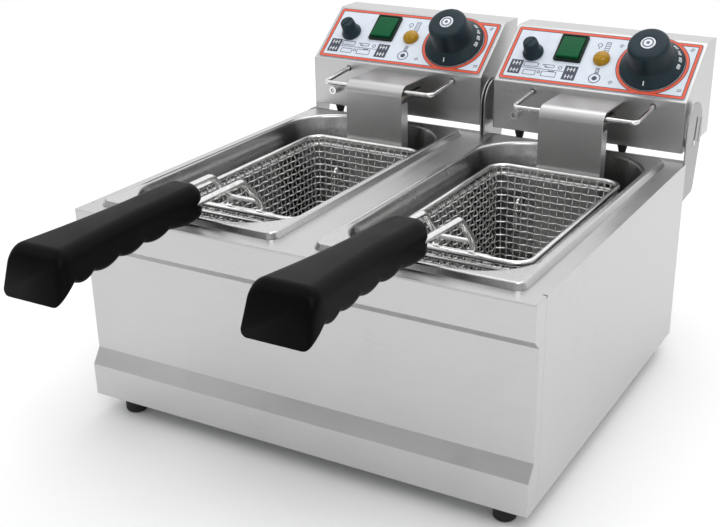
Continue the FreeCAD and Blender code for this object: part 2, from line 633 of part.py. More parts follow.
def indicator_lamp():
    dome = [(7.5 * math.cos(math.radians(a)), 1.8 + 4.8 * math.sin(math.radians(a))) for a in range(0, 90, 15)]
    profile = [(0, -16.0), (LAMP_STEM, -16.0), (LAMP_STEM, LABEL_THICKNESS), (7.5, LABEL_THICKNESS)]
    profile += dome + [(0, 6.6)]
    return on_slope(revolved(profile), LAMP_AT)


def along_y(profile, x, z):
    """Solid of revolution about a line parallel to y from (radius, y) points."""
    points = [Vector(x + r, y, z) for r, y in profile]
    face = Part.Face(Part.makePolygon(points + [points[0]]))
    return face.revolve(Vector(x, 0, z), Vector(0, 1, 0), 360)


def reset_switch():
    """High-limit reset: chrome sleeve through the face with its nut and body behind."""
    bore = RESET_BUTTON_RADIUS + RUNNING_FIT
    back = HEAD_FRONT + SHEET
    sleeve = RESET_SLEEVE_RADIUS
    profile = [(bore, 320.5), (sleeve, 320.5), (sleeve, HEAD_FRONT), (3.2, HEAD_FRONT), (3.2, back), (6.2, back),
               (6.2, back + 3.5), (5.4, back + 3.5), (5.4, 352.0), (0, 352.0), (0, 341.0), (bore, 341.0)]
    return along_y(profile, *RESET_AT)


def reset_button():
    return along_y([(0, 321.2), (RESET_BUTTON_RADIUS - 0.3, 321.2), (RESET_BUTTON_RADIUS, 321.8), (RESET_BUTTON_RADIUS, 338.0), (0, 338.0)],
                   *RESET_AT)


def head_bumpers(places):
    """Rubber bumpers under the head that land on the bracket's ledge."""
    bumpers = []
    for x in places:
        stub = Part.makeCone(4.6, 3.0, HEAD_GAP - 0.4, Vector(x, 331.4, HEAD_BOTTOM), Vector(0, 0, -1))
        bumpers.append(stub)
    return group(bumpers)


def cord_gland():
    """Cord gland in the head's back: outer collar, neck through the sheet, lock ring inside."""
    x, z = GLAND_AT
    profile = [(3.6, 398.0), (8.4, 398.0), (8.4, HEAD_BACK - SHEET), (6.0, HEAD_BACK - SHEET), (6.0, HEAD_BACK),
               (8.6, HEAD_BACK), (8.6, HEAD_BACK + 3.5), (6.2, HEAD_BACK + 9.0), (3.6, HEAD_BACK + 9.0)]
    return along_y(profile, x, z)


def head_screws():
    return group([screw(Vector(x, HEAD_BACK, z), Vector(0, -1, 0)) for x, z in COVER_SCREW_PLACES])


def pivot_pins():
    """Two shouldered pins: each rides in an ear's slot and carries one side of the head."""
    pins = []
    for sign in (-1, 1):
        def station(distance, sign=sign):
            return Vector(sign * distance, PIVOT_Y, PIVOT_Z)
        pins.append(fused([
            rod(PIN_RADIUS, station(84.2), station(EAR_OUTER + 0.5)),
            rod(4.2, station(84.2), station(HEAD_HALF - SHEET - 0.1)),
            rod(4.6, station(HEAD_HALF + 0.15), station(EAR_OUTER - EAR_THICKNESS - 0.15)),
        ]))
    return group(pins)


# ---------------------------------------------------------------- basket and handle
WIRE = 2.25
ARM_RADIUS = 2.5
ARM_X = 14.0
HINGE_BAR = 1.8
MESH_GAP = 0.25
MESH_THICKNESS = 0.6
HOOK_X = (-35.0, 46.0)


def basket_mesh():
    """Woven wire bag as a thin closed shell, open at the top."""
    width = BASKET_WIDTH - 2 * WIRE - 2 * MESH_GAP
    length = BASKET_LENGTH - 2 * WIRE - 2 * MESH_GAP
    taper_w = 6.0
    taper_l = 8.0
    thickness = MESH_THICKNESS
    top = BASKET_RIM_Z - 1.0
    outside = [(0, BASKET_CENTRE_Y, top, width, length, 13.0),
               (0, BASKET_CENTRE_Y, BASKET_FLOOR_Z, width - taper_w, length - taper_l, 12.0)]
    inside = [(0, BASKET_CENTRE_Y, top + 1, width - 2 * thickness, length - 2 * thickness, 12.0),
              (0, BASKET_CENTRE_Y, BASKET_FLOOR_Z + thickness, width - taper_w - 2 * thickness,
               length - taper_l - 2 * thickness, 11.0)]
    return stacked(outside).cut(stacked(inside))


def basket_rim():
    """Heavy rim wire and the thinner binding wire under it."""
    rim = ring_of_wire(0, BASKET_CENTRE_Y, BASKET_RIM_Z, BASKET_WIDTH, BASKET_LENGTH, 14.0, WIRE)
    binding = ring_of_wire(0, BASKET_CENTRE_Y, BASKET_RIM_Z - 6.5, BASKET_WIDTH - 0.8, BASKET_LENGTH - 0.8, 13.6, 1.75)
    return group([rim, binding])


def basket_wires():
    """Hinge bar inside the front wall and the two drain hooks on the back wall."""
    front_wall = BASKET_CENTRE_Y - BASKET_LENGTH / 2 + WIRE + MESH_GAP + MESH_THICKNESS + 0.3
    bar = bent_rod([Vector(-26, front_wall, HANDLE_PIVOT_Z), Vector(-26, HANDLE_PIVOT_Y, HANDLE_PIVOT_Z),
                    Vector(26, HANDLE_PIVOT_Y, HANDLE_PIVOT_Z), Vector(26, front_wall, HANDLE_PIVOT_Z)], 3.0, HINGE_BAR)
    wires = [bar]
    leg = BASKET_CENTRE_Y + BASKET_LENGTH / 2 - 1.8
    for x in HOOK_X:
        hook = [Vector(x, leg, 100.0), Vector(x, leg, 126.0), Vector(x, leg + 11.0, 126.0),
                Vector(x, leg + 11.0, 110.0)]
        wires.append(bent_rod(hook, 4.5, 1.75))
    return group(wires)


ARM_Z = 183.5


def handle_wires():
    """Wire fork of the handle: two arms with eyes on the hinge bar and a cross bar."""
    knee_y = HANDLE_PIVOT_Y + 0.3
    knee_z = 161.6
    shoulder_y = HANDLE_PIVOT_Y - 22.4
    pieces = []
    for x in (-ARM_X, ARM_X):
        arm = bent_rod([Vector(x, HANDLE_PIVOT_Y, HANDLE_PIVOT_Z + 2.6), Vector(x, knee_y, knee_z),
                        Vector(x, shoulder_y, ARM_Z), Vector(x, -4.0, ARM_Z)], 10.0, ARM_RADIUS)
        eye_start = Vector(x - 2.6, HANDLE_PIVOT_Y, HANDLE_PIVOT_Z)
        eye = Part.makeCylinder(4.4, 5.2, eye_start, Vector(1, 0, 0))
        pieces += [arm, eye]
    pieces.append(rod(1.9, Vector(-ARM_X, knee_y - 1.6, knee_z), Vector(ARM_X, knee_y - 1.6, knee_z)))
    fork = fused(pieces)
    bar_hole = rod(HINGE_BAR + RUNNING_FIT, Vector(-60, HANDLE_PIVOT_Y, HANDLE_PIVOT_Z),
                   Vector(60, HANDLE_PIVOT_Y, HANDLE_PIVOT_Z))
    return fork.cut(bar_hole)


GRIP_TOP = 199.5
GRIP_NOTCH_Z = 174.2
GRIP_LOBE = 3.2
GRIP_NOTCHES = (-20.0, -47.0, -74.0, -101.0, -121.0)


def grip_side_outline():
    """Side view of the grip: flat top, four finger lobes below, hooked front end."""
    def at(y, z):
        return Vector(-30, y, z)
    edges = []
    start = at(GRIP_BACK, GRIP_NOTCH_Z + 9)
    edges.append(Part.LineSegment(start, at(GRIP_BACK, GRIP_NOTCH_Z)).toShape())
    edges.append(Part.Arc(at(GRIP_BACK, GRIP_NOTCH_Z), at(GRIP_BACK - 21, GRIP_NOTCH_Z - GRIP_LOBE),
                          at(GRIP_NOTCHES[0], GRIP_NOTCH_Z)).toShape())
    for near, far in zip(GRIP_NOTCHES, GRIP_NOTCHES[1:]):
        low_point = at((near + far) / 2, GRIP_NOTCH_Z - GRIP_LOBE)
        edges.append(Part.Arc(at(near, GRIP_NOTCH_Z), low_point, at(far, GRIP_NOTCH_Z)).toShape())
    edges.append(Part.Arc(at(GRIP_NOTCHES[-1], GRIP_NOTCH_Z), at(-127.0, 171.0), at(-130.0, 165.0)).toShape())
    edges.append(Part.Arc(at(-130.0, 165.0), at(-134.0, 160.6), at(GRIP_FRONT, 162.0)).toShape())
    edges.append(Part.LineSegment(at(GRIP_FRONT, 162.0), at(-132.5, 192.0)).toShape())
    edges.append(Part.Arc(at(-132.5, 192.0), at(-130.0, 197.0), at(-125.0, GRIP_TOP)).toShape())
    edges.append(Part.LineSegment(at(-125.0, GRIP_TOP), at(GRIP_BACK - 14, GRIP_TOP)).toShape())
    edges.append(Part.Arc(at(GRIP_BACK - 14, GRIP_TOP), at(GRIP_BACK - 4, 195.0), start).toShape())
    return Part.Wire(edges)


def grip_section(y, top_width, bottom_width, low):
    """Cross-section wire of the grip's envelope: round shoulders on top, eased lower corners."""
    half_top = top_width / 2
    half_low = bottom_width / 2
    shoulder = 10.0
    ease = 5.0
    cut = math.sqrt(0.5)
    points = [
        (Vector(half_low - ease, y, low), Vector(half_low - ease + ease * cut, y, low + ease * (1 - cut)),
         Vector(half_low, y, low + ease)),
        (Vector(half_top, y, GRIP_TOP - shoulder),
         Vector(half_top - shoulder * (1 - cut), y, GRIP_TOP - shoulder * (1 - cut)),
         Vector(half_top - shoulder, y, GRIP_TOP)),
    ]
    mirrored = [tuple(Vector(-p.x, p.y, p.z) for p in reversed(arc)) for arc in reversed(points)]
    arcs = points + mirrored
    edges = []
    for index, arc in enumerate(arcs):
        edges.append(Part.Arc(*arc).toShape())
        edges.append(Part.LineSegment(arc[2], arcs[(index + 1) % 4][0]).toShape())
    return Part.Wire(edges)


def handle_grip():
    """Black moulded grip, bored for the fork's arms."""
    slab = Part.Face(grip_side_outline()).extrude(Vector(60, 0, 0))
    main = Part.makeLoft([grip_section(GRIP_BACK + 2, 33, 33, 171.0), grip_section(-116.0, 33, 33, 171.0)], True, True)
    hook = Part.makeLoft([grip_section(-104.0, 33, 33, 157.0), grip_section(GRIP_FRONT - 2, 36, 44, 157.0)], True, True)
    grip = slab.common(fused([main, hook]))
    for x in (-ARM_X, ARM_X):
        grip = grip.cut(rod(ARM_RADIUS + 0.05, Vector(x, -6.0, ARM_Z), Vector(x, GRIP_BACK + 5, ARM_Z)))
    return grip


# ---------------------------------------------------------------- assembly
HEAD_PARTS = {
    "pivot_pins": pivot_pins, "head_shell": head_shell, "head_cover": head_cover, "label_panel": label_panel,
    "element_guard": element_guard, "heating_element": heating_element, "thermostat_bulb": thermostat_bulb,
    "hanger_rod": hanger_rod, "thermostat": thermostat, "timer": timer, "switch_housing": switch_housing,
    "indicator_lamp": indicator_lamp, "reset_switch": reset_switch, "cord_gland": cord_gland,
    "head_screws": head_screws, "thermostat_dial": thermostat_dial, "timer_knob": timer_knob, "rocker": rocker,
    "reset_button": reset_button,
}
BASKET_PARTS = {"basket_mesh": basket_mesh, "basket_rim": basket_rim, "basket_wires": basket_wires}
HANDLE_PARTS = {"handle_wires": handle_wires, "handle_grip": handle_grip}


def all_nodes():
    nodes = {
        "casing": casing(), "front_panel": front_panel(), "back_panel": back_panel(), "base_plate": base_plate(),
        "rubber_feet": rubber_feet(), "casing_screws": casing_screws(),
    }
    for name, side in SIDES.items():
        nodes[name + "_tank"] = tank(side["x"] + side["tank_shift"])
        nodes[name + "_head_bracket"] = head_bracket(side["x"], side["ear_fronts"])
        to_head = Vector(side["x"], 0, 0)
        to_basket = Vector(side["x"] + side["basket_shift"], 0, 0)
        for part, build in HEAD_PARTS.items():
            nodes[name + "_" + part] = build().translated(to_head)
        nodes[name + "_head_bumpers"] = head_bumpers(side["bumpers"]).translated(to_head)
        for part, build in BASKET_PARTS.items():
            nodes[name + "_" + part] = build().translated(to_basket)
        pivot = Vector(0, HANDLE_PIVOT_Y, HANDLE_PIVOT_Z)
        for part, build in HANDLE_PARTS.items():
            shape = build().rotated(pivot, Vector(-1, 0, 0), side["handle_tilt"])
            nodes[name + "_" + part] = shape.translated(to_basket + Vector(side["handle_shift"], 0, 0))
    return nodes


def footprint_shift(nodes):
    """Vector that puts the middle of the footprint, on the worktop, at the origin."""
    box = FreeCAD.BoundBox()
    for shape in nodes.values():
        box.add(shape.optimalBoundingBox(False))
    return Vector(-(box.XMin + box.XMax) / 2, -(box.YMin + box.YMax) / 2, -box.ZMin)


def main():
    os.makedirs("parts", exist_ok=True)
    nodes = all_nodes()
    shift = footprint_shift(nodes)
    for name, shape in nodes.items():
        shape.translated(shift).exportStep("parts/" + name + ".step")
        volume = sum(solid.Volume for solid in shape.Solids)
        print(f"{name}: solids {len(shape.Solids)} valid {shape.isValid()} volume {volume / 1000:.2f} cm3")
    print(f"{len(nodes)} nodes, shift {shift.x:.4f} {shift.y:.4f} {shift.z:.4f}")


main()
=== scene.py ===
import math

import bpy
from mathutils import Matrix, Vector

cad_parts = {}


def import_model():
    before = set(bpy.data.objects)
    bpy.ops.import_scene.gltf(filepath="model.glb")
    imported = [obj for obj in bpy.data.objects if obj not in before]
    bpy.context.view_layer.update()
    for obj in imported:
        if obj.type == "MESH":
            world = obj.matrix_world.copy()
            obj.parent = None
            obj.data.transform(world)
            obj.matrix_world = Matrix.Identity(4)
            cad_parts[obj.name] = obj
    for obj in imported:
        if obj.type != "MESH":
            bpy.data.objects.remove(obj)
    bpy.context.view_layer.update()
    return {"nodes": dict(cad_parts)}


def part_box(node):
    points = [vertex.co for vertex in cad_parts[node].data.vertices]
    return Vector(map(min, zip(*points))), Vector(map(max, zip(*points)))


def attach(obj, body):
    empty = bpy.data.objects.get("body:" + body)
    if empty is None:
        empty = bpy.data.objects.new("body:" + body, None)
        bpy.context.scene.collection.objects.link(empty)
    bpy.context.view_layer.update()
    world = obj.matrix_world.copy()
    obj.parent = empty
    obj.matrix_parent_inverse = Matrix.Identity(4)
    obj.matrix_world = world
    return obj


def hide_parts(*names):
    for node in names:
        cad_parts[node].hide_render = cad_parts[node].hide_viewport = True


# Looks for the twin-tank deep fryer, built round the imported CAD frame.
# Lengths in the code are millimetres in the casing's own coordinates: x from its centre plane,
# y back from its front face, z up from a level EDGE_Z below the casing's lower edge.
# at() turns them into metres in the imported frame.

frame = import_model()
NODES = frame["nodes"]
MM = 0.001
FRONT_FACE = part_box("front_panel")[0].y / MM
EDGE_Z = 9.0
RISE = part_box("casing")[0].z / MM - EDGE_Z
DECK_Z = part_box("casing")[1].z / MM - RISE
SIDES = ("left", "right")


def at(x, y, z):
    return Vector((x, y + FRONT_FACE, z + RISE)) * MM


def centre_x(node):
    low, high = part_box(node)
    return (low.x + high.x) / 2 / MM


HEAD_X = {side: centre_x(side + "_head_shell") for side in SIDES}
BASKET_X = {side: centre_x(side + "_basket_rim") for side in SIDES}


# ---------------------------------------------------------------- shapes
def unit(vector):
    return vector / vector.length


def rounded_path(points, bend, steps=6):
    """Points along straight runs joined by arcs; bend is one radius or one for each inner corner."""
    bends = bend if isinstance(bend, (list, tuple)) else [bend] * (len(points) - 2)
    path = [points[0]]
    for before, corner, after, radius in zip(points, points[1:], points[2:], bends):
        back = unit(before - corner)
        ahead = unit(after - corner)
        half_turn = back.angle(ahead) / 2
        setback = radius / math.tan(half_turn)
        if radius < 1e-6 or setback < 1e-6:
            path.append(corner)
            continue
        centre = corner + unit(back + ahead) * (radius / math.sin(half_turn))
        first = corner + back * setback - centre
        last = corner + ahead * setback - centre
        sweep = first.angle(last)
        for step in range(steps + 1):
            t = step / steps
            mixed = (first * math.sin((1 - t) * sweep) + last * math.sin(t * sweep)) / math.sin(sweep)
            path.append(centre + mixed)
    path.append(points[-1])
    return path


class Shape:
    """Vertices in millimetres and faces, gathered before they become one mesh."""

    def __init__(self):
        self.points = []
        self.faces = []

    def add(self, points, faces):
        start = len(self.points)
        self.points += [Vector(p) for p in points]
        self.faces += [tuple(start + i for i in face) for face in faces]

    def rings(self, rings, closed=False, cap=True):
        """Skin over equal-length closed rings of points."""
        count = len(rings[0])
        faces = []
        pairs = len(rings) if closed else len(rings) - 1
        for i in range(pairs):
            here = i * count
            there = ((i + 1) % len(rings)) * count
            for j in range(count):
                k = (j + 1) % count
                faces.append((here + j, here + k, there + k, there + j))
        if cap and not closed:
            last = (len(rings) - 1) * count
            faces.append(tuple(reversed(range(count))))
            faces.append(tuple(range(last, last + count)))
        self.add([p for ring in rings for p in ring], faces)

    def tube(self, path, radius, sides=12, closed=False):
        """Round tube along a path; the frame is carried along without twisting."""
        count = len(path)
        rings = []
        normal = None
        for i, point in enumerate(path):
            before = path[(i - 1) % count] if closed or i > 0 else point
            after = path[(i + 1) % count] if closed or i < count - 1 else point
            ahead = unit(after - before)
            if normal is None:
                reference = Vector((0, 0, 1)) if abs(ahead.z) < 0.9 else Vector((1, 0, 0))
                normal = unit(reference - ahead * reference.dot(ahead))
            else:
                normal = unit(normal - ahead * normal.dot(ahead))
            across = ahead.cross(normal)
            turns = [2 * math.pi * j / sides for j in range(sides)]
            rings.append([point + radius * (math.cos(a) * normal + math.sin(a) * across) for a in turns])
        self.rings(rings, closed=closed)

    def lathe(self, profile, segments=72, place=None):
        """Solid of revolution about local z from (radius, height) points that start and end on the axis."""
        rings = []
        for radius, height in profile[1:-1]:
            turns = [2 * math.pi * j / segments for j in range(segments)]
            rings.append([Vector((radius * math.cos(a), radius * math.sin(a), height)) for a in turns])
        points = [p for ring in rings for p in ring]
        faces = []
        for i in range(len(rings) - 1):
            for j in range(segments):
                k = (j + 1) % segments
                here = i * segments
                there = here + segments
                faces.append((here + j, here + k, there + k, there + j))
        low = len(points)
        points += [Vector((0, 0, profile[0][1])), Vector((0, 0, profile[-1][1]))]
        last = (len(rings) - 1) * segments
        for j in range(segments):
            k = (j + 1) % segments
            faces.append((low, k, j))
            faces.append((low + 1, last + j, last + k))
        if place is not None:
            points = [place @ p for p in points]
        self.add(points, faces)

    def prism(self, outline, bottom, top, place=None, ease=0.0):
        """Straight prism on an outline of (x, y) points, with its top edge eased by a small bevel."""
        middle_x = sum(p[0] for p in outline) / len(outline)
        middle_y = sum(p[1] for p in outline) / len(outline)
        levels = [(bottom, 0.0), (top - ease, 0.0)]
        if ease:
            levels += [(top - ease + ease * math.sin(a), ease * (1 - math.cos(a)))
                       for a in (math.pi / 6, math.pi / 3, math.pi / 2)]
        rings = []
        for height, inset in levels:
            ring = []
            for x, y in outline:
                span = math.hypot(x - middle_x, y - middle_y) or 1.0
                shrink = 1 - inset / span
                ring.append(Vector((middle_x + (x - middle_x) * shrink,
                                    middle_y + (y - middle_y) * shrink, height)))
            rings.append(ring)
        if place is not None:
            rings = [[place @ p for p in ring] for ring in rings]
        self.rings(rings)

    def band(self, outer, inner, bottom, top, place):
        """Flat closed band between two outlines that have the same number of points."""
        rings = []
        for outline, height in ((outer, bottom), (outer, top), (inner, top), (inner, bottom)):
            rings.append([place @ Vector((x, y, height)) for x, y in outline])
        self.rings(rings, closed=True, cap=False)


def rounded_rectangle(width, length, radius, steps=8, centre=(0.0, 0.0)):
    """Outline points of a rectangle with round corners, counter-clockwise."""
    half_w = width / 2 - radius
    half_l = length / 2 - radius
    points = []
    for index, (sx, sy) in enumerate(((1, 1), (-1, 1), (-1, -1), (1, -1))):
        for step in range(steps + 1):
            turn = math.pi / 2 * (index + step / steps)
            points.append((centre[0] + sx * half_w + radius * math.cos(turn),
                           centre[1] + sy * half_l + radius * math.sin(turn)))
    return points


def circle(radius, count=64, centre=(0.0, 0.0)):
    turns = [2 * math.pi * j / count for j in range(count)]
    return [(centre[0] + radius * math.cos(a), centre[1] + radius * math.sin(a)) for a in turns]


def piece(name, shape, material, body, stands_for=(), smooth=35.0, bevel=0.0, transform=None):
    """Turn a Shape into a Blender object that rides on a body."""
    points = shape.points
    if transform is not None:
        points = [transform @ p for p in points]
    mesh = bpy.data.meshes.new(name)
    mesh.from_pydata([at(p.x, p.y, p.z) for p in points], [], shape.faces)
    mesh.validate()
    mesh.update()
    mesh.materials.append(material)
    mesh.shade_smooth()
    mesh.set_sharp_from_angle(angle=math.radians(smooth))
    obj = bpy.data.objects.new(name, mesh)
    bpy.context.scene.collection.objects.link(obj)
    if bevel:
        modifier = obj.modifiers.new("edge", "BEVEL")
        modifier.width = bevel * MM
        modifier.segments = 2
        modifier.limit_method = "ANGLE"
        modifier.angle_limit = math.radians(40)
    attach(obj, body)
    if stands_for:
        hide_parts(*stands_for)
    return obj


# ---------------------------------------------------------------- materials
class Nodes:
    """Short wiring helper for one material's node tree."""

    def __init__(self, name):
        self.material = bpy.data.materials.new(name)
        self.material.use_nodes = True
        self.tree = self.material.node_tree
        self.shader = self.tree.nodes["Principled BSDF"]
        self.place = self.tree.nodes.new("ShaderNodeTexCoord").outputs["Object"]

    def set(self, **values):
        for key, value in values.items():
            self.shader.inputs[key.replace("_", " ")].default_value = value

    def link(self, source, target):
        self.tree.links.new(source, target)

    def stretched(self, scale):
        mapping = self.tree.nodes.new("ShaderNodeMapping")
        mapping.inputs["Scale"].default_value = scale
        self.link(self.place, mapping.inputs["Vector"])
        return mapping.outputs["Vector"]

    def noise(self, scale, detail=4.0, roughness=0.55, distortion=0.0):
        node = self.tree.nodes.new("ShaderNodeTexNoise")
        node.inputs["Scale"].default_value = 1.0
        node.inputs["Detail"].default_value = detail
        node.inputs["Roughness"].default_value = roughness
        node.inputs["Distortion"].default_value = distortion
        self.link(self.stretched(scale), node.inputs["Vector"])
        return node.outputs["Fac"]

    def span(self, source, low, high, from_low=0.3, from_high=0.7):
        node = self.tree.nodes.new("ShaderNodeMapRange")
        node.inputs["From Min"].default_value = from_low
        node.inputs["From Max"].default_value = from_high
        node.inputs["To Min"].default_value = low
        node.inputs["To Max"].default_value = high
        self.link(source, node.inputs["Value"])
        return node.outputs["Result"]

    def blend(self, factor, first, second):
        node = self.tree.nodes.new("ShaderNodeMix")
        node.data_type = "RGBA"
        node.inputs["A"].default_value = (*first, 1.0)
        node.inputs["B"].default_value = (*second, 1.0)
        self.link(factor, node.inputs["Factor"])
        return node.outputs["Result"]

    def height(self, low, high, dark, light):
        """Grey that runs from dark at one height to light at another, in metres above the floor."""
        split = self.tree.nodes.new("ShaderNodeSeparateXYZ")
        self.link(self.place, split.inputs[0])
        return self.span(split.outputs["Z"], dark, light, low, high)

    def darken(self, colour, factor):
        node = self.tree.nodes.new("ShaderNodeMix")
        node.data_type = "RGBA"
        node.blend_type = "MULTIPLY"
        node.inputs["Factor"].default_value = 1.0
        self.link(colour, node.inputs["A"])
        self.link(factor, node.inputs["B"])
        return node.outputs["Result"]

    def bump(self, height, strength, distance, soft_edge=0.0):
        node = self.tree.nodes.new("ShaderNodeBump")
        node.inputs["Strength"].default_value = strength
        node.inputs["Distance"].default_value = distance
        self.link(height, node.inputs["Height"])
        if soft_edge:
            edge = self.tree.nodes.new("ShaderNodeBevel")
            edge.samples = 4
            edge.inputs["Radius"].default_value = soft_edge
            self.link(edge.outputs["Normal"], node.inputs["Normal"])
        self.link(node.outputs["Normal"], self.shader.inputs["Normal"])


def scaled(colour, factor):
    return tuple(channel * factor for channel in colour)


GRAIN = {"x": (9.0, 1500.0, 1500.0), "y": (1500.0, 9.0, 1500.0), "z": (1500.0, 1500.0, 9.0)}


def brushed_steel(name, grain, tone, roughness=(0.26, 0.38), soft_edge=0.0007):
    """Brushed stainless sheet: fine streaks along the grain, faint handling marks, softened edges."""
    made = Nodes(name)
    made.set(Metallic=1.0)
    streaks = made.noise(GRAIN[grain], detail=5.0, roughness=0.7)
    clouds = made.noise((14.0, 14.0, 14.0), detail=3.0, distortion=0.6)
    colour = made.blend(made.span(streaks, 0.0, 1.0, 0.25, 0.75), scaled(tone, 0.95), scaled(tone, 1.04))
    tint = made.blend(made.span(clouds, 0.0, 1.0), (0.94, 0.94, 0.945), (1.0, 1.0, 1.0))
    made.link(made.darken(colour, tint), made.shader.inputs["Base Color"])
    rough_grain = made.span(streaks, roughness[0], roughness[1], 0.25, 0.75)
    smears = made.span(clouds, -0.03, 0.05)
    total = made.tree.nodes.new("ShaderNodeMath")
    made.link(rough_grain, total.inputs[0])
    made.link(smears, total.inputs[1])
    made.link(total.outputs[0], made.shader.inputs["Roughness"])
    made.bump(streaks, 0.12, 0.00005, soft_edge)
    return made.material


def bright_wire(name, tone=(0.82, 0.82, 0.81), roughness=(0.10, 0.22)):
    """Nickel-plated wire: bright with slight dulling and tiny drawing marks."""
    made = Nodes(name)
    made.set(Metallic=1.0)
    dull = made.noise((160.0, 160.0, 160.0), detail=4.0)
    fine = made.noise((2500.0, 2500.0, 2500.0), detail=2.0)
    made.link(made.blend(made.span(dull, 0.0, 1.0), scaled(tone, 0.86), scaled(tone, 1.05)),
              made.shader.inputs["Base Color"])
    made.link(made.span(dull, *roughness), made.shader.inputs["Roughness"])
    made.bump(fine, 0.12, 0.00005)
    return made.material


def drawn_steel(name):
    """Deep-drawn tank: satin inside with long soft draw marks, and painted shade that darkens the colour
    lower down in the tank.
    """
    made = Nodes(name)
    made.set(Metallic=1.0)
    streaks = made.noise((420.0, 420.0, 12.0), detail=4.0, roughness=0.6)
    clouds = made.noise((22.0, 22.0, 22.0), detail=4.0, distortion=0.8)
    tone = (0.60, 0.60, 0.595)
    colour = made.blend(made.span(streaks, 0.0, 1.0), scaled(tone, 0.93), scaled(tone, 1.05))
    tint = made.blend(made.span(clouds, 0.0, 1.0), (0.92, 0.92, 0.925), (1.0, 1.0, 1.0))
    # painted shade: the base colour darkens towards the tank floor, for the shade deep inside the tank
    painted_depth_shade = made.height(low=0.10, high=0.17, dark=0.42, light=1.0)
    made.link(made.darken(made.darken(colour, tint), painted_depth_shade), made.shader.inputs["Base Color"])
    made.link(made.span(clouds, 0.20, 0.30), made.shader.inputs["Roughness"])
    made.bump(streaks, 0.08, 0.00008)
    return made.material


def heat_tinted(name):
    """Element tube: steel darkened and tinted by heat, with a dry oil film."""
    made = Nodes(name)
    made.set(Metallic=1.0)
    clouds = made.noise((55.0, 55.0, 55.0), detail=5.0, distortion=1.0)
    colour = made.blend(made.span(clouds, 0.0, 1.0), (0.16, 0.145, 0.13), (0.36, 0.33, 0.29))
    made.link(colour, made.shader.inputs["Base Color"])
    made.link(made.span(clouds, 0.28, 0.5), made.shader.inputs["Roughness"])
    made.bump(made.noise((1400.0, 1400.0, 1400.0)), 0.2, 0.0001)
    return made.material


def moulding(name, tone, roughness=(0.42, 0.55), texture=0.25, coat=0.0, gleam=0.3):
    """Moulded plastic with a fine pebbled surface and faint colour drift."""
    made = Nodes(name)
    made.set(Coat_Weight=coat, Coat_Roughness=0.12, Specular_IOR_Level=gleam)
    drift = made.noise((35.0, 35.0, 35.0), detail=3.0)
    pebbles = made.noise((2600.0, 2600.0, 2600.0), detail=3.0)
    made.link(made.blend(made.span(drift, 0.0, 1.0), scaled(tone, 0.85), scaled(tone, 1.2)),
              made.shader.inputs["Base Color"])
    made.link(made.span(drift, *roughness), made.shader.inputs["Roughness"])
    made.bump(pebbles, texture, 0.00008, 0.0005)
    return made.material


def lens(name, tone, roughness, coat, gleam):
    """Tinted plastic, as on the rocker and the lamp, with faint ribs."""
    made = Nodes(name)
    made.set(Roughness=roughness, IOR=1.49, Coat_Weight=coat, Coat_Roughness=0.05,
             Specular_IOR_Level=gleam)
    ribs = made.noise((90.0, 700.0, 700.0), detail=2.0)
    made.link(made.blend(made.span(ribs, 0.0, 1.0), scaled(tone, 0.82), scaled(tone, 1.1)),
              made.shader.inputs["Base Color"])
    made.bump(ribs, 0.05, 0.0001)
    return made.material


def printed(name, tone, roughness=0.4):
    """Ink or film on the printed panel: slight unevenness and a satin skin."""
    made = Nodes(name)
    made.set(Roughness=roughness, Specular_IOR_Level=0.4)
    drift = made.noise((120.0, 120.0, 120.0), detail=3.0)
    made.link(made.blend(made.span(drift, 0.0, 1.0), scaled(tone, 0.95), scaled(tone, 1.03)),
              made.shader.inputs["Base Color"])
    made.bump(made.noise((1800.0, 1800.0, 1800.0)), 0.05, 0.00005)
    return made.material


SHEET_TONE = (0.575, 0.575, 0.572)
STEEL_X = brushed_steel("brushed_sheet_x", "x", SHEET_TONE)
STEEL_Y = brushed_steel("brushed_sheet_y", "y", SHEET_TONE)
GUARD_STEEL = brushed_steel("brushed_guard", "z", (0.58, 0.58, 0.575), roughness=(0.28, 0.42))
HEAD_STEEL = brushed_steel("brushed_head", "x", SHEET_TONE, soft_edge=0.0012)
# painted shade: the ear plates get a darker steel tone for the shadow in the gap beside each head
SHADED_EAR_STEEL = brushed_steel("brushed_ear_painted_shade", "z", (0.40, 0.40, 0.40), roughness=(0.34, 0.46))
PLAIN_STEEL = brushed_steel("plain_sheet", "x", (0.55, 0.56, 0.56), roughness=(0.38, 0.5))
TANK_STEEL = drawn_steel("drawn_tank")
WIRE = bright_wire("bright_wire")
MESH_WIRE = bright_wire("mesh_wire", tone=(0.86, 0.86, 0.85), roughness=(0.16, 0.28))
PIN_STEEL = bright_wire("pin_steel", tone=(0.62, 0.62, 0.61), roughness=(0.2, 0.3))
ELEMENT = heat_tinted("element_tube")
RUBBER = moulding("black_rubber", (0.018, 0.016, 0.017), roughness=(0.6, 0.75), texture=0.4)
GRIP_PLASTIC = moulding("grip_plastic", (0.002, 0.002, 0.002), roughness=(0.34, 0.42), texture=0.3,
                        gleam=0.05)
KNOB_PLASTIC = moulding("knob_plastic", (0.012, 0.026, 0.034), roughness=(0.34, 0.44), texture=0.25,
                        gleam=0.22)
BLACK_GLOSS = moulding("black_gloss", (0.005, 0.013, 0.007), roughness=(0.16, 0.26), texture=0.05,
                       coat=0.1, gleam=0.15)
GREEN = lens("green_rocker", (0.003, 0.095, 0.034), roughness=0.34, coat=0.03, gleam=0.1)
AMBER = lens("amber_lens", (0.42, 0.23, 0.006), roughness=0.16, coat=0.25, gleam=0.2)
FILM = printed("panel_film", (0.70, 0.76, 0.84))
INK_RED = printed("ink_red", (0.78, 0.11, 0.055))
INK_DARK = printed("ink_dark", (0.05, 0.06, 0.09))
INK_BLUE = printed("ink_blue", (0.12, 0.14, 0.22))
INK_PALE = printed("ink_pale", (0.80, 0.84, 0.86))


def dress(node, material):
    """Give a CAD node its material."""
    slots = NODES[node].data.materials
    if not slots:
        slots.append(material)
    for index in range(len(slots)):
        slots[index] = material


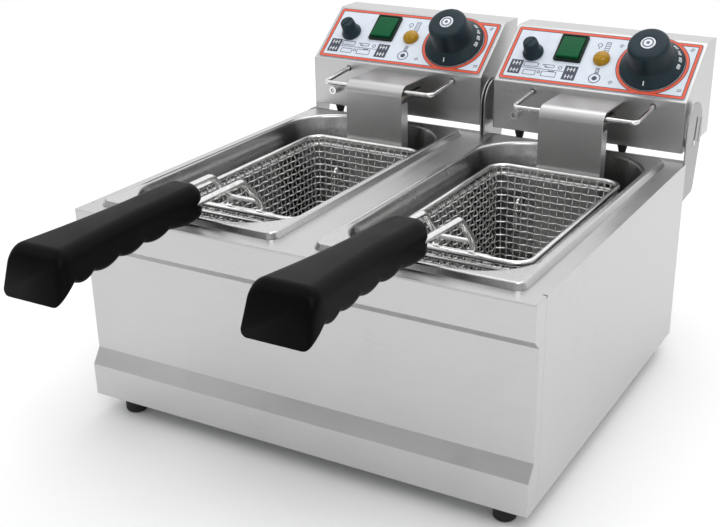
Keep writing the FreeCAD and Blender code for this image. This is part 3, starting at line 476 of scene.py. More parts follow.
def dress_cad_nodes():
    single = {
        "casing": STEEL_Y, "front_panel": STEEL_X, "back_panel": PLAIN_STEEL, "base_plate": PLAIN_STEEL,
        "rubber_feet": RUBBER, "casing_screws": PIN_STEEL,
    }
    for node, material in single.items():
        dress(node, material)
    plain = {
        "tank": TANK_STEEL, "head_bracket": SHADED_EAR_STEEL, "pivot_pins": PIN_STEEL, "head_shell": HEAD_STEEL,
        "head_cover": HEAD_STEEL, "label_panel": FILM, "element_guard": GUARD_STEEL,
        "heating_element": ELEMENT, "thermostat_bulb": PIN_STEEL, "hanger_rod": WIRE,
        "thermostat": KNOB_PLASTIC, "timer": KNOB_PLASTIC, "switch_housing": BLACK_GLOSS,
        "indicator_lamp": AMBER, "reset_switch": WIRE, "head_bumpers": RUBBER,
        "cord_gland": KNOB_PLASTIC, "head_screws": PIN_STEEL, "thermostat_dial": KNOB_PLASTIC,
        "timer_knob": KNOB_PLASTIC, "rocker": GREEN, "reset_button": PIN_STEEL, "basket_mesh": MESH_WIRE,
        "basket_rim": WIRE, "basket_wires": WIRE, "handle_wires": WIRE, "handle_grip": GRIP_PLASTIC,
    }
    for side in SIDES:
        for node, material in plain.items():
            dress(side + "_" + node, material)


# ---------------------------------------------------------------- tanks
FLANGE_Z = DECK_Z + 5.0
FLANGE_SIZE = (159.0, 304.0)
TANK_CENTRE_Y = 166.0
TANK_FLOOR_Z = 38.0
TANK_WALL = 0.8
OPENING_LIMIT = (154.4, 295.4)


def tank_ring(x, z, width, length, radius):
    outline = rounded_rectangle(width, length, radius, steps=14, centre=(x, TANK_CENTRE_Y))
    return [Vector((px, py, z)) for px, py in outline]


def tank_levels():
    """Height, width, length and corner radius of the tank's inside, from its lip down to its floor."""
    rim = FLANGE_Z - 0.3
    levels = [(rim, 152.6, 293.6, 51.8)]
    lip = 3.4
    for step in range(1, 7):
        turn = math.pi / 2 * step / 6
        spread = 2 * lip * (1 - math.sin(turn))
        levels.append((rim - lip * (1 - math.cos(turn)), 145.6 + spread, 286.6 + spread, 48.3 + spread / 2))
    bend_z = TANK_FLOOR_Z + 13.0
    levels.append((FLANGE_Z - 12.0, 142.0, 283.0, 46.5))
    levels.append((FLANGE_Z - 60.0, 138.6, 277.5, 44.8))
    levels.append((bend_z, 135.5, 271.0, 43.0))
    for step in range(1, 7):
        turn = math.pi / 2 * step / 6
        inset = 11.0 * (1 - math.cos(turn))
        levels.append((bend_z - 13.0 * math.sin(turn), 135.5 - 2 * inset, 271.0 - 2 * inset, 43.0 - inset))
    return levels


def tank(side):
    """Deep-drawn tank with a flared flange skirt, rolled edge, round lip and tapered walls."""
    x = centre_x(side + "_tank")
    width, length = FLANGE_SIZE
    edge = 1.7
    flare = 1.6
    outside = [(DECK_Z + 0.1, 0.0), (DECK_Z + 0.7, 0.1), (FLANGE_Z - edge, flare)]
    for step in range(1, 6):
        turn = math.pi / 2 * step / 5
        outside.append((FLANGE_Z - edge + edge * math.sin(turn), flare + edge * (1 - math.cos(turn))))
    outside.append((FLANGE_Z - 0.25, 6.0))
    upper = [tank_ring(x, z, width - 2 * inset, length - 2 * inset, max(8.0 - inset, 4.0))
             for z, inset in outside]
    inside = tank_levels()
    upper += [tank_ring(x, *level) for level in inside]
    lower = []
    for z, w, l, radius in reversed(inside):
        w = min(w + 2 * TANK_WALL, OPENING_LIMIT[0])
        l = min(l + 2 * TANK_WALL, OPENING_LIMIT[1])
        lower.append(tank_ring(x, z - TANK_WALL, w, l, radius + TANK_WALL))
    lower.append(tank_ring(x, DECK_Z + 0.1, width - 2.0, length - 2.0, 7.0))
    rings = upper + lower
    shape = Shape()
    shape.rings(rings, closed=True)
    count = len(rings[0])
    floor = len(upper) - 1
    bridge = range(floor * count, (floor + 1) * count)
    shape.faces = [face for index, face in enumerate(shape.faces) if index not in bridge]
    shape.faces.append(tuple(floor * count + j for j in range(count)))
    shape.faces.append(tuple(reversed([(floor + 1) * count + j for j in range(count)])))
    piece(side + "_drawn_tank", shape, TANK_STEEL, "casing_body", (side + "_tank",),
          smooth=50.0)


# ---------------------------------------------------------------- woven baskets
BASKET_CENTRE_Y = 175.3
BAG_TOP_Z = 155.6
BAG_FLOOR_Z = 59.5
BAG_TOP_HALF = (53.2, 96.4)
BAG_FLOOR_HALF = (50.4, 92.6)
BAG_CORNER = 6.5
MESH_RADIUS = 0.75
WEAVE_DEPTH = 0.68
ACROSS_COUNT = 14
ALONG_COUNT = 28
CORNER_COUNT = 2
RING_PITCH = 6.0
RING_COUNT = 15
FIRST_RING = 5.5


def bag_half(z):
    share = (z - BAG_FLOOR_Z) / (BAG_TOP_Z - BAG_FLOOR_Z)
    return [low + (high - low) * share for low, high in zip(BAG_FLOOR_HALF, BAG_TOP_HALF)]


def station_point(station, z):
    """Point and outward direction on the bag's wall at a wire number counted round from the front left."""
    half_w, half_l = bag_half(z)
    flat_w = half_w - BAG_CORNER
    flat_l = half_l - BAG_CORNER
    lengths = (ACROSS_COUNT, CORNER_COUNT, ALONG_COUNT, CORNER_COUNT) * 2
    position = (station + 0.5) % sum(lengths)
    sides = (
        (Vector((-flat_w, -half_l, z)), Vector((flat_w, -half_l, z)), Vector((0, -1, 0))),
        (Vector((flat_w, -flat_l, z)), -90),
        (Vector((half_w, -flat_l, z)), Vector((half_w, flat_l, z)), Vector((1, 0, 0))),
        (Vector((flat_w, flat_l, z)), 0),
        (Vector((flat_w, half_l, z)), Vector((-flat_w, half_l, z)), Vector((0, 1, 0))),
        (Vector((-flat_w, flat_l, z)), 90),
        (Vector((-half_w, flat_l, z)), Vector((-half_w, -flat_l, z)), Vector((-1, 0, 0))),
        (Vector((-flat_w, -flat_l, z)), 180),
    )
    for length, run in zip(lengths, sides):
        if position > length:
            position -= length
            continue
        share = position / length
        if len(run) == 3:
            return run[0].lerp(run[1], share), run[2]
        turn = math.radians(run[1] + 90 * share)
        outward = Vector((math.cos(turn), math.sin(turn), 0))
        return run[0] + outward * BAG_CORNER, outward
    return sides[0][0], sides[0][2]


def ring_z(ring):
    return BAG_FLOOR_Z + FIRST_RING + ring * RING_PITCH


def weave_rings(shape, x, y):
    stations = 2 * (ACROSS_COUNT + ALONG_COUNT + 2 * CORNER_COUNT)
    steps = 4
    for ring in range(RING_COUNT):
        path = []
        for index in range(stations * steps):
            station = index / steps
            point, outward = station_point(station, ring_z(ring))
            wave = WEAVE_DEPTH * math.cos(math.pi * (station + ring))
            path.append(point + outward * wave + Vector((x, y, 0)))
        shape.tube(path, MESH_RADIUS, sides=5, closed=True)


def weave_corner_wires(shape, x, y):
    starts = (ACROSS_COUNT, ACROSS_COUNT + CORNER_COUNT + ALONG_COUNT)
    half = ACROSS_COUNT + ALONG_COUNT + 2 * CORNER_COUNT
    stations = [start + offset + turn * half
                for turn in range(2) for start in starts for offset in range(CORNER_COUNT)]
    steps = 4
    for station in stations:
        path = []
        for index in range(-steps, (RING_COUNT - 1) * steps + 5):
            ring = index / steps
            z = min(ring_z(ring), BAG_TOP_Z)
            point, outward = station_point(station, z)
            wave = -WEAVE_DEPTH * math.cos(math.pi * (station + ring))
            path.append(point + outward * wave + Vector((x, y, 0)))
        shape.tube(path, MESH_RADIUS, sides=5)


def folded_point(wall_half, floor_half, distance, bend=5.0):
    """Point (across, z) and outward direction on a wall-floor-wall fold, by distance from its middle."""
    side = math.copysign(1.0, distance)
    reach = abs(distance)
    wall_lean = unit(Vector((wall_half - floor_half, 0, BAG_TOP_Z - BAG_FLOOR_Z)))
    if reach < floor_half - bend:
        return Vector((side * reach, 0, BAG_FLOOR_Z)), Vector((0, 0, -1))
    if reach > floor_half + bend:
        point = Vector((floor_half, 0, BAG_FLOOR_Z)) + wall_lean * (reach - floor_half)
        return Vector((side * point.x, 0, point.z)), Vector((side, 0, 0))
    turn = (reach - floor_half + bend) / (2 * bend) * math.pi / 2
    centre = Vector((floor_half - bend, 0, BAG_FLOOR_Z + bend))
    outward = Vector((math.sin(turn), 0, -math.cos(turn)))
    point = centre + outward * bend
    return Vector((side * point.x, 0, point.z)), Vector((side * outward.x, 0, outward.z))


def weave_folded_wires(shape, x, y, count, other_count, axis, sign):
    """Wires that run down one wall, across the floor and up the other."""
    own = 0 if axis == "x" else 1
    other = 1 - own
    spacing = 2 * (BAG_FLOOR_HALF[own] - BAG_CORNER) / count
    top_spacing = 2 * (BAG_TOP_HALF[own] - BAG_CORNER) / count
    pitch = 2 * (BAG_FLOOR_HALF[other] - BAG_CORNER) / other_count
    extra = CORNER_COUNT // 2
    steps = 4
    for wire in range(-extra, count + extra):
        offset = wire - (count - 1) / 2
        climbs = 0 <= wire < count
        edge = abs(offset) * spacing - (BAG_FLOOR_HALF[own] - BAG_CORNER)
        limit = BAG_FLOOR_HALF[other]
        if not climbs:
            limit -= BAG_CORNER - math.sqrt(max(BAG_CORNER ** 2 - edge ** 2, 0.0))
        path = []
        last = other_count - 1 + extra
        lowest = -extra - RING_COUNT - 1 if climbs else -extra - 1
        highest = last + RING_COUNT + 1 if climbs else last + 1
        for index in range(lowest * steps, highest * steps + 1):
            crossing = index / steps
            if crossing < -extra:
                distance = -(BAG_FLOOR_HALF[other] + FIRST_RING + (-extra - 1 - crossing) * RING_PITCH)
                distance = max(distance, -(BAG_FLOOR_HALF[other] + BAG_TOP_Z - BAG_FLOOR_Z))
            elif crossing > last:
                distance = BAG_FLOOR_HALF[other] + FIRST_RING + (crossing - last - 1) * RING_PITCH
                distance = min(distance, BAG_FLOOR_HALF[other] + BAG_TOP_Z - BAG_FLOOR_Z)
            else:
                distance = (crossing - (other_count - 1) / 2) * pitch
            if not climbs and abs(distance) > limit:
                continue
            point, outward = folded_point(BAG_TOP_HALF[other], BAG_FLOOR_HALF[other], distance)
            share = max(0.0, (point.z - BAG_FLOOR_Z) / (BAG_TOP_Z - BAG_FLOOR_Z))
            across = offset * (spacing + (top_spacing - spacing) * share)
            wave = sign * WEAVE_DEPTH * math.cos(math.pi * (crossing + wire))
            bent = point + outward * wave
            if axis == "x":
                path.append(Vector((x + across, y + bent.x, bent.z)))
            else:
                path.append(Vector((x + bent.x, y + across, bent.z)))
        if len(path) > 2:
            shape.tube(path, MESH_RADIUS, sides=5)


def basket_bag(side):
    x = BASKET_X[side]
    shape = Shape()
    weave_rings(shape, x, BASKET_CENTRE_Y)
    weave_corner_wires(shape, x, BASKET_CENTRE_Y)
    weave_folded_wires(shape, x, BASKET_CENTRE_Y, ACROSS_COUNT, ALONG_COUNT, "x", 1.0)
    weave_folded_wires(shape, x, BASKET_CENTRE_Y, ALONG_COUNT, ACROSS_COUNT, "y", -1.0)
    piece(side + "_woven_bag", shape, MESH_WIRE, side + "_basket", (side + "_basket_mesh",),
          smooth=80)


# ---------------------------------------------------------------- handles
GRIP_BACK = 22.0
GRIP_TOP = 196.3
GRIP_NOTCH_Z = 174.2
GRIP_LOBE = 3.2
GRIP_NOTCHES = (-22.0, -49.0, -75.5, -102.5, -122.0)
GRIP_FACE_Y = -131.0
GRIP_HOOK = 12.2
GRIP_LEAN = 9.0
GRIP_HALF = 16.5
HANDLE_PIVOT = Vector((0, 87.0, 152.0))
HANDLE_TILT = {"left": 0.0, "right": 3.1}


def grip_bottom(y):
    """Height of the grip's underside: four finger lobes, then the drop of the hooked front end."""
    marks = (GRIP_BACK,) + GRIP_NOTCHES
    for near, far in zip(marks, marks[1:]):
        if far <= y <= near:
            middle = (near + far) / 2
            share = (y - middle) / ((near - far) / 2)
            return GRIP_NOTCH_Z - GRIP_LOBE * (1 - share * share)
    share = min((GRIP_NOTCHES[-1] - y) / (GRIP_NOTCHES[-1] - GRIP_FACE_Y), 1.0)
    return GRIP_NOTCH_Z - GRIP_HOOK * share ** 1.2


def grip_ring(y, side_inset, top_inset, low_inset):
    """One cross-section, narrowed and lowered by its insets; near the hook it is sheared forward."""
    flare = min(max((-30.0 - y) / 101.0, 0.0), 1.0) ** 1.7
    lean = GRIP_LEAN * min(max((-120.0 - y) / 11.0, 0.0), 1.0) ** 1.3
    half_top = GRIP_HALF + 7.0 * flare - side_inset
    half_low = GRIP_HALF + 8.5 * flare - side_inset
    top = GRIP_TOP - top_inset
    low = grip_bottom(y) + low_inset
    shoulder = min(9.5, 0.9 * half_top)
    ease = min(4.5, 0.6 * half_low)
    corners = ((half_top, top, shoulder, 0), (-half_top, top, shoulder, 90),
               (-half_low, low, ease, 180), (half_low, low, ease, 270))
    ring = []
    for cx, cz, radius, start in corners:
        centre_h = cx - math.copysign(radius, cx)
        centre_v = cz - radius if start < 180 else cz + radius
        for step in range(9):
            turn = math.radians(start + 90 * step / 8)
            pz = centre_v + radius * math.sin(turn)
            drop = (GRIP_TOP - pz) / (GRIP_TOP - GRIP_NOTCH_Z + GRIP_HOOK)
            ring.append(Vector((centre_h + radius * math.cos(turn), y - lean * drop, pz)))
    return ring


def round_inset(distance, radius):
    """How far a quarter-round end is drawn in at a distance from its tip."""
    left = max(radius - distance, 0.0)
    return radius - math.sqrt(radius * radius - left * left)


def grip(side):
    """Moulded grip with finger lobes, a domed back end and a hooked front end."""
    plan_round = 14.0
    dome_round = 9.0
    face_round = 7.0
    rings = []
    for step in range(15):
        distance = plan_round * (1 - math.cos(math.pi / 2 * step / 14))
        rings.append(grip_ring(GRIP_BACK - distance, round_inset(distance, plan_round),
                               round_inset(distance, dome_round), round_inset(distance, 5.0)))
    start = GRIP_BACK - plan_round
    span = start - (GRIP_FACE_Y + face_round)
    sections = 150
    for step in range(1, sections + 1):
        rings.append(grip_ring(start - span * step / sections, 0.0, 0.0, 0.0))
    for step in range(1, 8):
        turn = math.pi / 2 * step / 7
        inset = 1 - math.cos(turn)
        rings.append(grip_ring(GRIP_FACE_Y + face_round * (1 - math.sin(turn)),
                               2.4 * inset, face_round * inset, 1.5 * inset))
    shape = Shape()
    shape.rings(rings)
    tilt = (Matrix.Translation(HANDLE_PIVOT + Vector((centre_x(side + "_handle_grip"), 0, 0)))
            @ Matrix.Rotation(math.radians(HANDLE_TILT[side]), 4, Vector((-1, 0, 0)))
            @ Matrix.Translation(-HANDLE_PIVOT))
    piece(side + "_grip", shape, GRIP_PLASTIC, side + "_handle", (side + "_handle_grip",),
          smooth=60, transform=tilt)


# ---------------------------------------------------------------- sloping panel and its controls
HEAD_FRONT = 328.0
FACE_TOP = 215.0
SLOPE = math.atan2(40.0, 52.0)
SLOPE_LENGTH = math.hypot(40.0, 52.0)
LABEL_TOP = 0.6
LABEL_EDGE = 2.6
DIAL_AT = (47.4, 34.8)
TIMER_AT = (-61.2, 33.8)
SWITCH_AT = (-28.4, 43.2)
LAMP_AT = (2.0, 35.5)
INK = 0.06
BEZEL_SIZE = (25.4, 29.8)
BEZEL_OPENING = (21.4, 26.4)
BEZEL_SHOULDER = 2.2
BEZEL_EASE = 0.7
SWITCH_BODY = (22.6, 27.6)
SWITCH_DEPTH = 21.0
ROCKER_WIDTH = 20.2
ROCKER_LENGTH = 24.6


def slope_frame(side, x=0.0, v=0.0, turn=0.0):
    """Matrix from the panel's x, up-slope and outward axes, centred at (x, v), to casing coordinates."""
    origin = Vector((HEAD_X[side] + x, HEAD_FRONT + v * math.cos(SLOPE), FACE_TOP + v * math.sin(SLOPE)))
    return Matrix.Translation(origin) @ Matrix.Rotation(SLOPE, 4, "X") @ Matrix.Rotation(turn, 4, "Z")


def stroke(shape, place, start, end, width, height=LABEL_TOP + INK, base=LABEL_TOP):
    """Thin printed line between two points."""
    start, end = Vector(start), Vector(end)
    side_step = Vector((-(end - start).y, (end - start).x)).normalized() * width / 2
    outline = [start + side_step, start - side_step, end - side_step, end + side_step]
    shape.prism([tuple(p) for p in reversed(outline)], base, height, place)


def printed_ring(shape, place, centre, radius, width, count=56, lift=0.0):
    shape.band(circle(radius, count, centre), circle(radius - width, count, centre),
               LABEL_TOP, LABEL_TOP + INK + lift, place)


def printed_frame(shape, place, width, length, radius, line, lift=0.0, centre=(0.0, 0.0)):
    shape.band(rounded_rectangle(width, length, radius, 6, centre),
               rounded_rectangle(width - 2 * line, length - 2 * line, max(radius - line, 0.3), 6, centre),
               LABEL_TOP, LABEL_TOP + INK + lift, place)


def label(side):
    """Pale film with a red border and generic symbols."""
    place = slope_frame(side)
    width = 168.8
    length = SLOPE_LENGTH - 2 * LABEL_EDGE
    middle = (0.0, SLOPE_LENGTH / 2)
    film = Shape()
    film.prism(rounded_rectangle(width, length, 2.0, 6, middle), 0.05, LABEL_TOP, place)
    piece(side + "_panel_film", film, FILM, side + "_head", (side + "_label_panel",))

    dark = Shape()
    printed_frame(dark, place, width - 0.4, length - 0.4, 2.4, 3.5, centre=middle)
    printed_ring(dark, place, DIAL_AT, 31.4, 3.6)
    red = Shape()
    printed_frame(red, place, width - 1.6, length - 1.6, 2.0, 2.3, lift=0.03, centre=middle)
    printed_ring(red, place, DIAL_AT, 30.8, 2.4, lift=0.05)
    piece(side + "_print_red", red, INK_RED, side + "_head")

    blue = Shape()
    pale = Shape()
    symbols(dark, blue, pale, place)
    piece(side + "_print_dark", dark, INK_DARK, side + "_head")
    piece(side + "_print_blue", blue, INK_BLUE, side + "_head")
    piece(side + "_print_pale", pale, INK_PALE, side + "_head")


def symbols(dark, blue, pale, place):
    """Generic wiring sketch, terminal blocks and small pictograms."""
    for x, v, w, l in ((-72.6, 17.3, 11.4, 15.6), (-21.2, 16.6, 12.0, 15.6)):
        dark.prism(rounded_rectangle(w, l, 0.5, 3, (x, v)), LABEL_TOP, LABEL_TOP + INK, place)
        for row in (-4.0, 4.0):
            for step in (-3.0, 0.0, 3.0):
                stroke(pale, place, (x + step, v + row - 2.1), (x + step, v + row + 2.1), 0.8,
                       LABEL_TOP + 2 * INK, LABEL_TOP + INK)
            stroke(pale, place, (x - 3.8, v + row), (x + 3.8, v + row), 0.6,
                   LABEL_TOP + 2 * INK, LABEL_TOP + INK)
    stroke(blue, place, (-66.5, 17.5), (-27.5, 17.5), 0.65)
    for x, v, w, l in ((-59.0, 21.5, 14.0, 5.0), (-58.0, 12.5, 12.0, 5.5),
                       (-40.0, 12.8, 14.0, 6.0), (-41.5, 21.5, 9.0, 3.6)):
        printed_frame(blue, place, w, l, 0.8, 0.65, centre=(x, v))
    for x, v, radius in ((-31.5, 21.0, 1.9), (-49.5, 14.0, 1.6)):
        printed_ring(dark, place, (x, v), radius, 0.65, 20)
    for x, v in ((-47.0, 22.5), (-44.5, 20.5), (-40.0, 16.2), (-37.0, 16.2)):
        stroke(dark, place, (x - 1.4, v), (x + 1.4, v), 0.8)
    # lamp symbols: a drop above, a bar down to a ring below
    x = LAMP_AT[0]
    for v in (45.5, 48.0, 50.5, 53.0):
        stroke(blue, place, (x + 1.0 - 1.4, v), (x + 1.0 + 1.4, v), 0.8)
    printed_frame(blue, place, 4.6, 11.5, 0.8, 0.6, centre=(x + 1.0, 49.3))
    printed_ring(blue, place, (x - 6.2, 50.8), 2.3, 0.7, 24)
    stroke(blue, place, (x - 6.2, 48.2), (x - 6.2, 46.6), 0.8)
    printed_frame(blue, place, 3.4, 6.4, 0.5, 0.6, centre=(x, 22.4))
    for v in (20.6, 22.4, 24.2):
        stroke(dark, place, (x - 1.0, v), (x + 1.0, v), 0.8)
    printed_ring(blue, place, (x, 14.2), 5.4, 0.9, 40)
    dark.prism(circle(2.3, 24, (x, 14.2)), LABEL_TOP, LABEL_TOP + INK, place)
    # small paired strokes by the dial
    for x, v, turn in ((17.0, 12.0, 0.5), (76.4, 56.0, 1.0), (77.2, 11.8, 0.3), (15.0, 52.5, 0.8)):
        dx, dv = 1.9 * math.cos(turn), 1.9 * math.sin(turn)
        for step in (-1.0, 1.0):
            ox, ov = -step * dv * 0.45, step * dx * 0.45
            stroke(dark, place, (x + ox - dx, v + ov - dv), (x + ox + dx, v + ov + dv), 0.7)


DIGITS = {"0": "abcdef", "1": "bc", "2": "abged", "4": "fgbc", "6": "afgcde", "8": "abcdefg"}


def digit_strokes(character, width, height):
    half = height / 2
    segments = {
        "a": ((0, height), (width, height)), "b": ((width, height), (width, half)),
        "c": ((width, half), (width, 0)), "d": ((0, 0), (width, 0)), "e": ((0, 0), (0, half)),
        "f": ((0, half), (0, height)), "g": ((0, half), (width, half)),
    }
    return [segments[name] for name in DIGITS[character]]


def dial_marks(side, shape):
    """Pointer line and pale numerals lying on the dial's cone."""
    cone_turn = math.atan2(8.4 - 2.6, 27.8 - 20.4)
    mean_radius = 23.9
    mean_height = 5.9

    def cone_place(angle):
        return (slope_frame(side, *DIAL_AT) @ Matrix.Rotation(math.radians(angle), 4, "Z")
                @ Matrix.Translation(Vector((mean_radius, 0, mean_height)))
                @ Matrix.Rotation(cone_turn, 4, "Y"))

    top, base = 0.1, -0.3
    stroke(shape, cone_place(-90), (-1.8, 0), (2.0, 0), 0.9, top, base)
    for index, text in enumerate(("120", "140", "160", "180")):
        place = cone_place(50 - index * 18) @ Matrix.Rotation(math.radians(-90), 4, "Z")
        size = 1.35
        digit_height = 2.5
        drop = 1.2
        gap = 0.75
        total = len(text) * size + (len(text) - 1) * gap
        for place_number, character in enumerate(text):
            x = -total / 2 + place_number * (size + gap)
            for start, end in digit_strokes(character, size, digit_height):
                stroke(shape, place, (x + start[0], start[1] - drop), (x + end[0], end[1] - drop), 0.42,
                       top, base)


def profile_points(corners, bends, steps=6):
    """(radius, height) profile with rounded corners."""
    points = [Vector((r, 0, h)) for r, h in corners]
    return [(p.x, p.z) for p in rounded_path(points, bends, steps)]


def dial(side):
    """Thermostat dial: cone skirt, tall body with a soft top edge, plain round badge."""
    place = slope_frame(side, *DIAL_AT)
    corners = [(0, 1.4), (27.5, 1.4), (27.9, 2.6), (20.6, 8.4), (19.3, 9.8),
               (17.4, 29.2), (7.2, 29.4), (6.9, 28.8), (0, 28.8)]
    bends = [0.2, 0.3, 0.4, 1.0, 4.2, 0.2, 0.2]
    body = Shape()
    body.lathe(profile_points(corners, bends), 96, place)
    shaft = [(0, -12.5), (3.0, -12.5), (3.0, 1.5), (0, 1.5)]
    body.lathe(profile_points(shaft, [0.2, 0.2]), 32, place)
    piece(side + "_dial", body, KNOB_PLASTIC, side + "_dial", (side + "_thermostat_dial",),
          smooth=40)
    badge = Shape()
    badge.lathe(profile_points([(0, 28.7), (6.3, 28.7), (6.3, 29.3), (0, 29.5)], [0.2, 0.3]), 48, place)
    piece(side + "_dial_badge", badge, INK_PALE, side + "_dial", smooth=40)
    emblem = Shape()
    emblem.band(circle(4.9, 40), circle(3.7, 40), 29.2, 29.52, place)
    emblem.lathe(profile_points([(0, 29.2), (1.6, 29.2), (1.6, 29.55), (0, 29.6)], [0.1, 0.1]), 24, place)
    piece(side + "_dial_emblem", emblem, INK_BLUE, side + "_dial", smooth=40)
    marks = Shape()
    dial_marks(side, marks)
    piece(side + "_dial_marks", marks, INK_PALE, side + "_dial")


def small_knob(side):
    place = slope_frame(side, *TIMER_AT)
    corners = [(0, 1.4), (9.4, 1.4), (9.5, 3.0), (7.5, 6.2), (6.4, 16.2), (0, 16.4)]
    shape = Shape()
    shape.lathe(profile_points(corners, [0.3, 0.5, 1.6, 1.4]), 56, place)
    shape.lathe(profile_points([(0, -11.5), (2.0, -11.5), (2.0, 1.5), (0, 1.5)], [0.2, 0.2]), 24, place)
    ridge = rounded_rectangle(1.6, 11.6, 0.7, 4)
    shape.prism(ridge, 15.9, 16.9, place @ Matrix.Rotation(math.radians(-28), 4, "Z"), 0.3)
    piece(side + "_small_knob", shape, KNOB_PLASTIC, side + "_timer_knob",
          (side + "_timer_knob",), smooth=40)


def switch(side):
    """Rocker bezel and its green rocker."""
    place = slope_frame(side, *SWITCH_AT)
    outer = rounded_rectangle(*BEZEL_SIZE, 1.8, 6)
    inner = rounded_rectangle(*BEZEL_OPENING, 0.9, 6)
    bezel = Shape()
    rings = []
    for outline, height in ((outer, LABEL_TOP), (outer, BEZEL_SHOULDER)):
        rings.append([place @ Vector((x, y, height)) for x, y in outline])
    for step in (1, 2, 3):
        turn = math.pi / 2 * step / 3
        ease = 2 * BEZEL_EASE * (1 - math.cos(turn))
        eased = rounded_rectangle(BEZEL_SIZE[0] - ease, BEZEL_SIZE[1] - ease, 1.5, 6)
        height = BEZEL_SHOULDER + BEZEL_EASE * math.sin(turn)
        rings.append([place @ Vector((x, y, height)) for x, y in eased])
    for height in (2.7, -SWITCH_DEPTH):
        rings.append([place @ Vector((x, y, height)) for x, y in inner])
    outline = rounded_rectangle(*SWITCH_BODY, 0.9, 6)
    rings.append([place @ Vector((x, y, -SWITCH_DEPTH)) for x, y in outline])
    rings.append([place @ Vector((x, y, LABEL_TOP)) for x, y in outline])
    bezel.rings(rings, closed=True)
    piece(side + "_switch_bezel", bezel, BLACK_GLOSS, side + "_head",
          (side + "_switch_housing",), smooth=40)
    half = ROCKER_LENGTH / 2
    profile = [Vector((0, -half, 5.2)), Vector((0, 0, 4.1)), Vector((0, half, 3.4)),
               Vector((0, half - 0.6, -4.0)), Vector((0, -half + 0.6, -4.0))]
    closed = profile[-1:] + profile + profile[:1]
    path = rounded_path(closed, [0.9, 14.0, 0.9, 0.3, 0.3], 5)[1:-1]
    rocker = Shape()
    side_x = ROCKER_WIDTH / 2
    rocker.rings([[place @ (p + Vector((x, 0, 0))) for p in path] for x in (-side_x, side_x)])
    piece(side + "_rocker_cap", rocker, GREEN, side + "_rocker", (side + "_rocker",),
          smooth=40, bevel=0.5)


def lamp(side):
    place = slope_frame(side, *LAMP_AT)
    shape = Shape()
    radius = 7.5
    skirt_top = 1.8
    dome_height = 4.9
    dome = []
    for degrees in range(0, 90, 9):
        angle = math.radians(degrees)
        dome.append((radius * math.cos(angle), skirt_top + dome_height * math.sin(angle)))
    dome.append((0, skirt_top + dome_height))
    profile = [(0, -16.0), (5.0, -16.0), (5.0, LABEL_TOP), (radius, LABEL_TOP)] + dome
    shape.lathe(profile, 56, place)
    piece(side + "_lamp_lens", shape, AMBER, side + "_head", (side + "_indicator_lamp",),
          smooth=40)


# ---------------------------------------------------------------- stage, lights, camera
def paper(name, tone):
    made = Nodes(name)
    made.set(Roughness=0.85, Specular_IOR_Level=0.1)
    colour = made.blend(made.noise((3.0, 3.0, 3.0)), scaled(tone, 0.995), tone)
    made.link(colour, made.shader.inputs["Base Color"])
    return made.material


def floor():
    mesh = bpy.data.meshes.new("floor")
    reach = 9.0
    corners = [(-reach, -reach, 0), (reach, -reach, 0), (reach, reach, 0), (-reach, reach, 0)]
    mesh.from_pydata(corners, [], [(0, 1, 2, 3)])
    mesh.materials.append(paper("pale_floor", (0.92, 0.92, 0.92)))
    obj = bpy.data.objects.new("floor", mesh)
    bpy.context.scene.collection.objects.link(obj)


def area_light(name, place, target, size, power, tint=(1.0, 1.0, 1.0)):
    light = bpy.data.lights.new(name, "AREA")
    light.shape = "RECTANGLE"
    light.size, light.size_y = size
    light.energy = power
    light.color = tint
    obj = bpy.data.objects.new(name, light)
    obj.location = place
    direction = Vector(target) - Vector(place)
    obj.rotation_euler = direction.to_track_quat("-Z", "Y").to_euler()
    bpy.context.scene.collection.objects.link(obj)


BACKWARD_LEAN = 0.6
WORLD_STRENGTH = 1.1


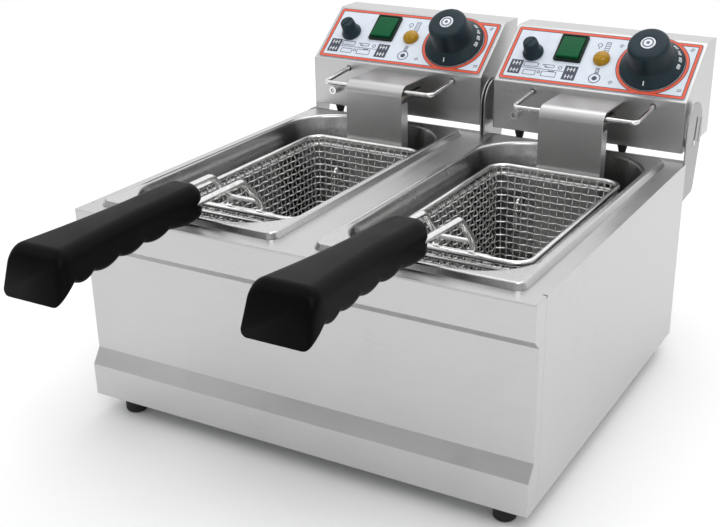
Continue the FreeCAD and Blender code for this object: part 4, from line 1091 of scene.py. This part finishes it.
def world():
    """Studio surround: bright overhead and behind, dimmer low down in front."""
    made = bpy.data.worlds.new("studio")
    made.use_nodes = True
    tree = made.node_tree
    background = tree.nodes["Background"]
    place = tree.nodes.new("ShaderNodeTexCoord").outputs["Generated"]
    split = tree.nodes.new("ShaderNodeSeparateXYZ")
    tree.links.new(place, split.inputs[0])
    lean = tree.nodes.new("ShaderNodeMath")
    lean.operation = "MULTIPLY_ADD"
    lean.inputs[1].default_value = BACKWARD_LEAN
    tree.links.new(split.outputs["Y"], lean.inputs[0])
    tree.links.new(split.outputs["Z"], lean.inputs[2])
    spread = tree.nodes.new("ShaderNodeMapRange")
    spread.inputs["From Min"].default_value = -1.0
    spread.inputs["From Max"].default_value = 1.0
    tree.links.new(lean.outputs[0], spread.inputs["Value"])
    ramp = tree.nodes.new("ShaderNodeValToRGB")
    levels = ((0.0, 0.42), (0.60, 0.45), (0.72, 0.70), (0.86, 1.0), (1.0, 1.0))
    ramp.color_ramp.elements[0].position = levels[0][0]
    ramp.color_ramp.elements[-1].position = levels[-1][0]
    for position, _ in levels[1:-1]:
        ramp.color_ramp.elements.new(position)
    for element, (_, grey) in zip(ramp.color_ramp.elements, levels):
        element.color = (grey, grey, grey * 1.01, 1.0)
    tree.links.new(spread.outputs["Result"], ramp.inputs["Fac"])
    tree.links.new(ramp.outputs["Color"], background.inputs["Color"])
    background.inputs["Strength"].default_value = WORLD_STRENGTH
    bpy.context.scene.world = made


def lights():
    area_light("key", (1.3, -2.0, 2.8), (0, 0, 0.1), (1.8, 1.4), 26)
    area_light("fill", (-2.2, -1.6, 2.2), (0, 0, 0.1), (1.6, 1.6), 6)
    area_light("top", (0.1, 0.9, 2.8), (0, 0, 0.1), (2.4, 1.4), 16)


CAMERA_AT = (428.0, -615.7, 463.2)
AZIMUTH = 27.46
ELEVATION = 24.10
ROLL = 0.24
LENS = 58.88


def camera():
    """Three-quarter view from the front right, a little above."""
    azimuth = math.radians(AZIMUTH)
    elevation = math.radians(ELEVATION)
    roll = math.radians(ROLL)
    ahead = Vector((-math.sin(azimuth) * math.cos(elevation), math.cos(azimuth) * math.cos(elevation),
                    -math.sin(elevation)))
    right = ahead.cross(Vector((0, 0, 1))).normalized()
    up = right.cross(ahead)
    right, up = (math.cos(roll) * right + math.sin(roll) * up,
                 -math.sin(roll) * right + math.cos(roll) * up)
    turn = Matrix((right, up, -ahead)).transposed().to_4x4()
    data = bpy.data.cameras.new("camera")
    data.sensor_width = 36.0
    data.lens = LENS
    data.shift_x = -0.089
    data.shift_y = 0.0496
    data.clip_end = 60.0
    obj = bpy.data.objects.new("camera", data)
    obj.matrix_world = Matrix.Translation(at(*CAMERA_AT)) @ turn
    bpy.context.scene.collection.objects.link(obj)
    bpy.context.scene.camera = obj


dress_cad_nodes()
for each_side in SIDES:
    tank(each_side)
    basket_bag(each_side)
    grip(each_side)
    label(each_side)
    dial(each_side)
    small_knob(each_side)
    switch(each_side)
    lamp(each_side)
floor()
lights()
world()
camera()
bpy.context.scene.view_settings.view_transform = "Standard"


def plain(bounds):
    return [[float(value) for value in corner] for corner in bounds]
